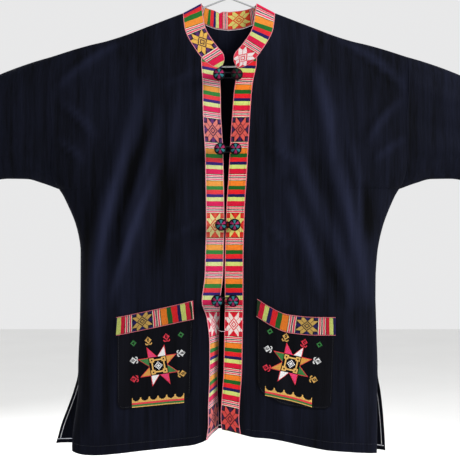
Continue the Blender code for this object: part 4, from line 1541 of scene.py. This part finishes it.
def add_stitches(name, seams, look):
    """Short raised stitches along seams, all in one piece."""
    points = []
    faces = []
    for seam in seams:
        step = np.linalg.norm(np.diff(seam.points, axis=0), axis=1)
        run = np.concatenate(([0], np.cumsum(step)))
        for i in range(int(run[-1] / seam.pitch)):
            middle = (i + 0.5) * seam.pitch
            reach = seam.length / 2
            ends = [along_seam(run, seam.points, middle + away) for away in (-reach, reach)]
            normal = along_seam(run, seam.normals, middle)
            normal /= np.linalg.norm(normal)
            side = np.cross(normal, ends[1] - ends[0])
            side /= max(np.linalg.norm(side), 1e-6)
            if seam.zigzag:
                swing = side * seam.zigzag * (1 if i % 2 else -1)
                ends = [ends[0] - swing, ends[1] + swing]
            start = len(points)
            for share, wide, high in STITCH:
                half = seam.width / 2 * wide
                base = ends[0] + (ends[1] - ends[0]) * share + normal * seam.lift
                top = normal * (0.08 + 0.3 * high)
                points += [base - side * half, base + side * half,
                           base + side * half * 0.4 + top, base - side * half * 0.4 + top]
            for s in range(3):
                faces += ring_faces(start + s * 4, 4)
            faces.append((start + 3, start + 2, start + 1, start))
            faces.append((start + 12, start + 13, start + 14, start + 15))
    add_mesh(name, points, faces, look, mend=True)


def stitch(line, lift=0):
    stitched.append(Seam(*line, lift, 3, 2.3, 0.55, 0))


def overlock(line):
    overlocked.append(Seam(*line, CLOTH, 1.3, 1.9, 0.9, 0.7))


def add_tack(look):
    """Short thread left across the gap between the fronts."""
    height = seen(221, 331.3)[1]
    ends = []
    for name, sign in SIDES.items():
        x = float(smooth(EDGE, name, np.array([height]))[0]) + sign * 1.2
        ends.append((x, front_at(name, x, height) - GAP - BAND_CLOTH - 0.35, height))
    middle = [(a + b) / 2 for a, b in zip(*ends)]
    tube("tack", [ends[0], (middle[0], middle[1], middle[2] - 0.9), ends[1]], 0.4, 6, False, look)


def set_stage():
    camera = bpy.data.cameras.new("camera")
    camera.sensor_width = SENSOR_WIDTH
    camera.lens = SENSOR_WIDTH * -CAMERA_Y / FRAME_WIDTH
    camera.clip_end = 50
    view = placed("camera", camera)
    view.location = (CAMERA_X * MM, CAMERA_Y * MM, CAMERA_Z * MM)
    view.rotation_euler = (math.radians(90), 0, 0)
    bpy.context.scene.camera = view
    world = bpy.data.worlds.new("pale")
    world.use_nodes = True
    backdrop = world.node_tree.nodes["Background"].inputs
    backdrop["Color"].default_value = (0.92, 0.92, 0.925, 1)
    backdrop["Strength"].default_value = 0.88
    bpy.context.scene.world = world
    bpy.context.scene.view_settings.view_transform = "Standard"
    for place, size, power in LAMPS:
        light = bpy.data.lights.new("soft", "AREA")
        light.energy = power
        light.size = size
        lamp = placed("soft", light)
        lamp.location = [c * MM for c in place]
        x, y, z = np.array((0, 0, AIM_Z)) - place
        lamp.rotation_euler = (math.atan2(math.hypot(x, y), -z), 0, math.atan2(-x, y))
    mesh = bpy.data.meshes.new("floor")
    corners = ((-1, -1), (1, -1), (1, 1), (-1, 1))
    points = [(x * FLOOR_REACH * MM, y * FLOOR_REACH * MM, FLOOR_Z * MM) for x, y in corners]
    mesh.from_pydata(points, [], [(0, 1, 2, 3)])
    ground = blank("floor", 0.9)
    mottle = noise(*parts(ground), 3, scale=3)
    mesh.materials.append(dress(ground, scaled((0.82, 0.82, 0.81), mottle * 0.06 + 0.97)))
    placed("floor", mesh)


# Cut of each piece of cloth before it was sewn, in metres and square metres
Cut = namedtuple("Cut", "piece width length area held rests_on")


def build():
    cotton = cotton_look("cotton", (0.0003, 0.0004, 0.0008), (0.0066, 0.0080, 0.0185))
    pocket_cotton = cotton_look("pocket_cotton", (0.0004, 0.0004, 0.0007), (0.0038, 0.0040, 0.0068))
    # The right front band is the same strip as the left, given deeper, darker colours as painted shade of the
    # light raking from the right.
    woven_front = {"left": woven_look("woven_front_left", FRONT_BLOCKS, 0.9, 0.97),
                   "right": woven_look("woven_front_right", FRONT_BLOCKS, 1.4, 1.45)}
    woven_collar = woven_look("woven_collar", COLLAR_BLOCKS, 1.12, 1.08)
    woven_pocket = woven_look("woven_pocket", POCKET_BLOCKS, 1.4, 1)
    ball = ball_look("button_thread", tone(54, 132, 142), tone(178, 44, 104), (0.0020, 0.0022, 0.0036))
    dark_ball = ball_look("button_thread_dark", tone(20, 66, 50), tone(96, 18, 44), (0.0026, 0.0028, 0.0040))
    cord = cord_look("loop_cord")
    wire = wire_look("coated_wire")
    dark_thread = thread_look("dark_thread", (0.0045, 0.005, 0.009))
    pale_thread = thread_look("pale_thread", (0.78, 0.78, 0.84))
    threads = [thread_look(name + "_thread", tone(*display)) for name, display in THREADS.items()]
    fronts = {name: add_front(name, cotton, woven_front[name]) for name in SIDES}
    back = add_back(cotton)
    add_collar(fronts["left"], fronts["right"], back, woven_collar)
    for name, back_column in (("left", back[:, 0]), ("right", back[:, -1])):
        add_sleeve(name, fronts[name][:, -1], back_column, cotton)
        add_pocket(name, pocket_cotton, woven_pocket, threads)
    add_buttons(ball, dark_ball, cord)
    add_hanger(wire)
    add_tack(pale_thread)
    add_stitches("stitches", stitched, dark_thread)
    add_stitches("overlock", overlocked, pale_thread)


def hand_over():
    """Hide the parts imported from model.glb."""
    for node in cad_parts:
        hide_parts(node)


build()
set_stage()
hand_over()
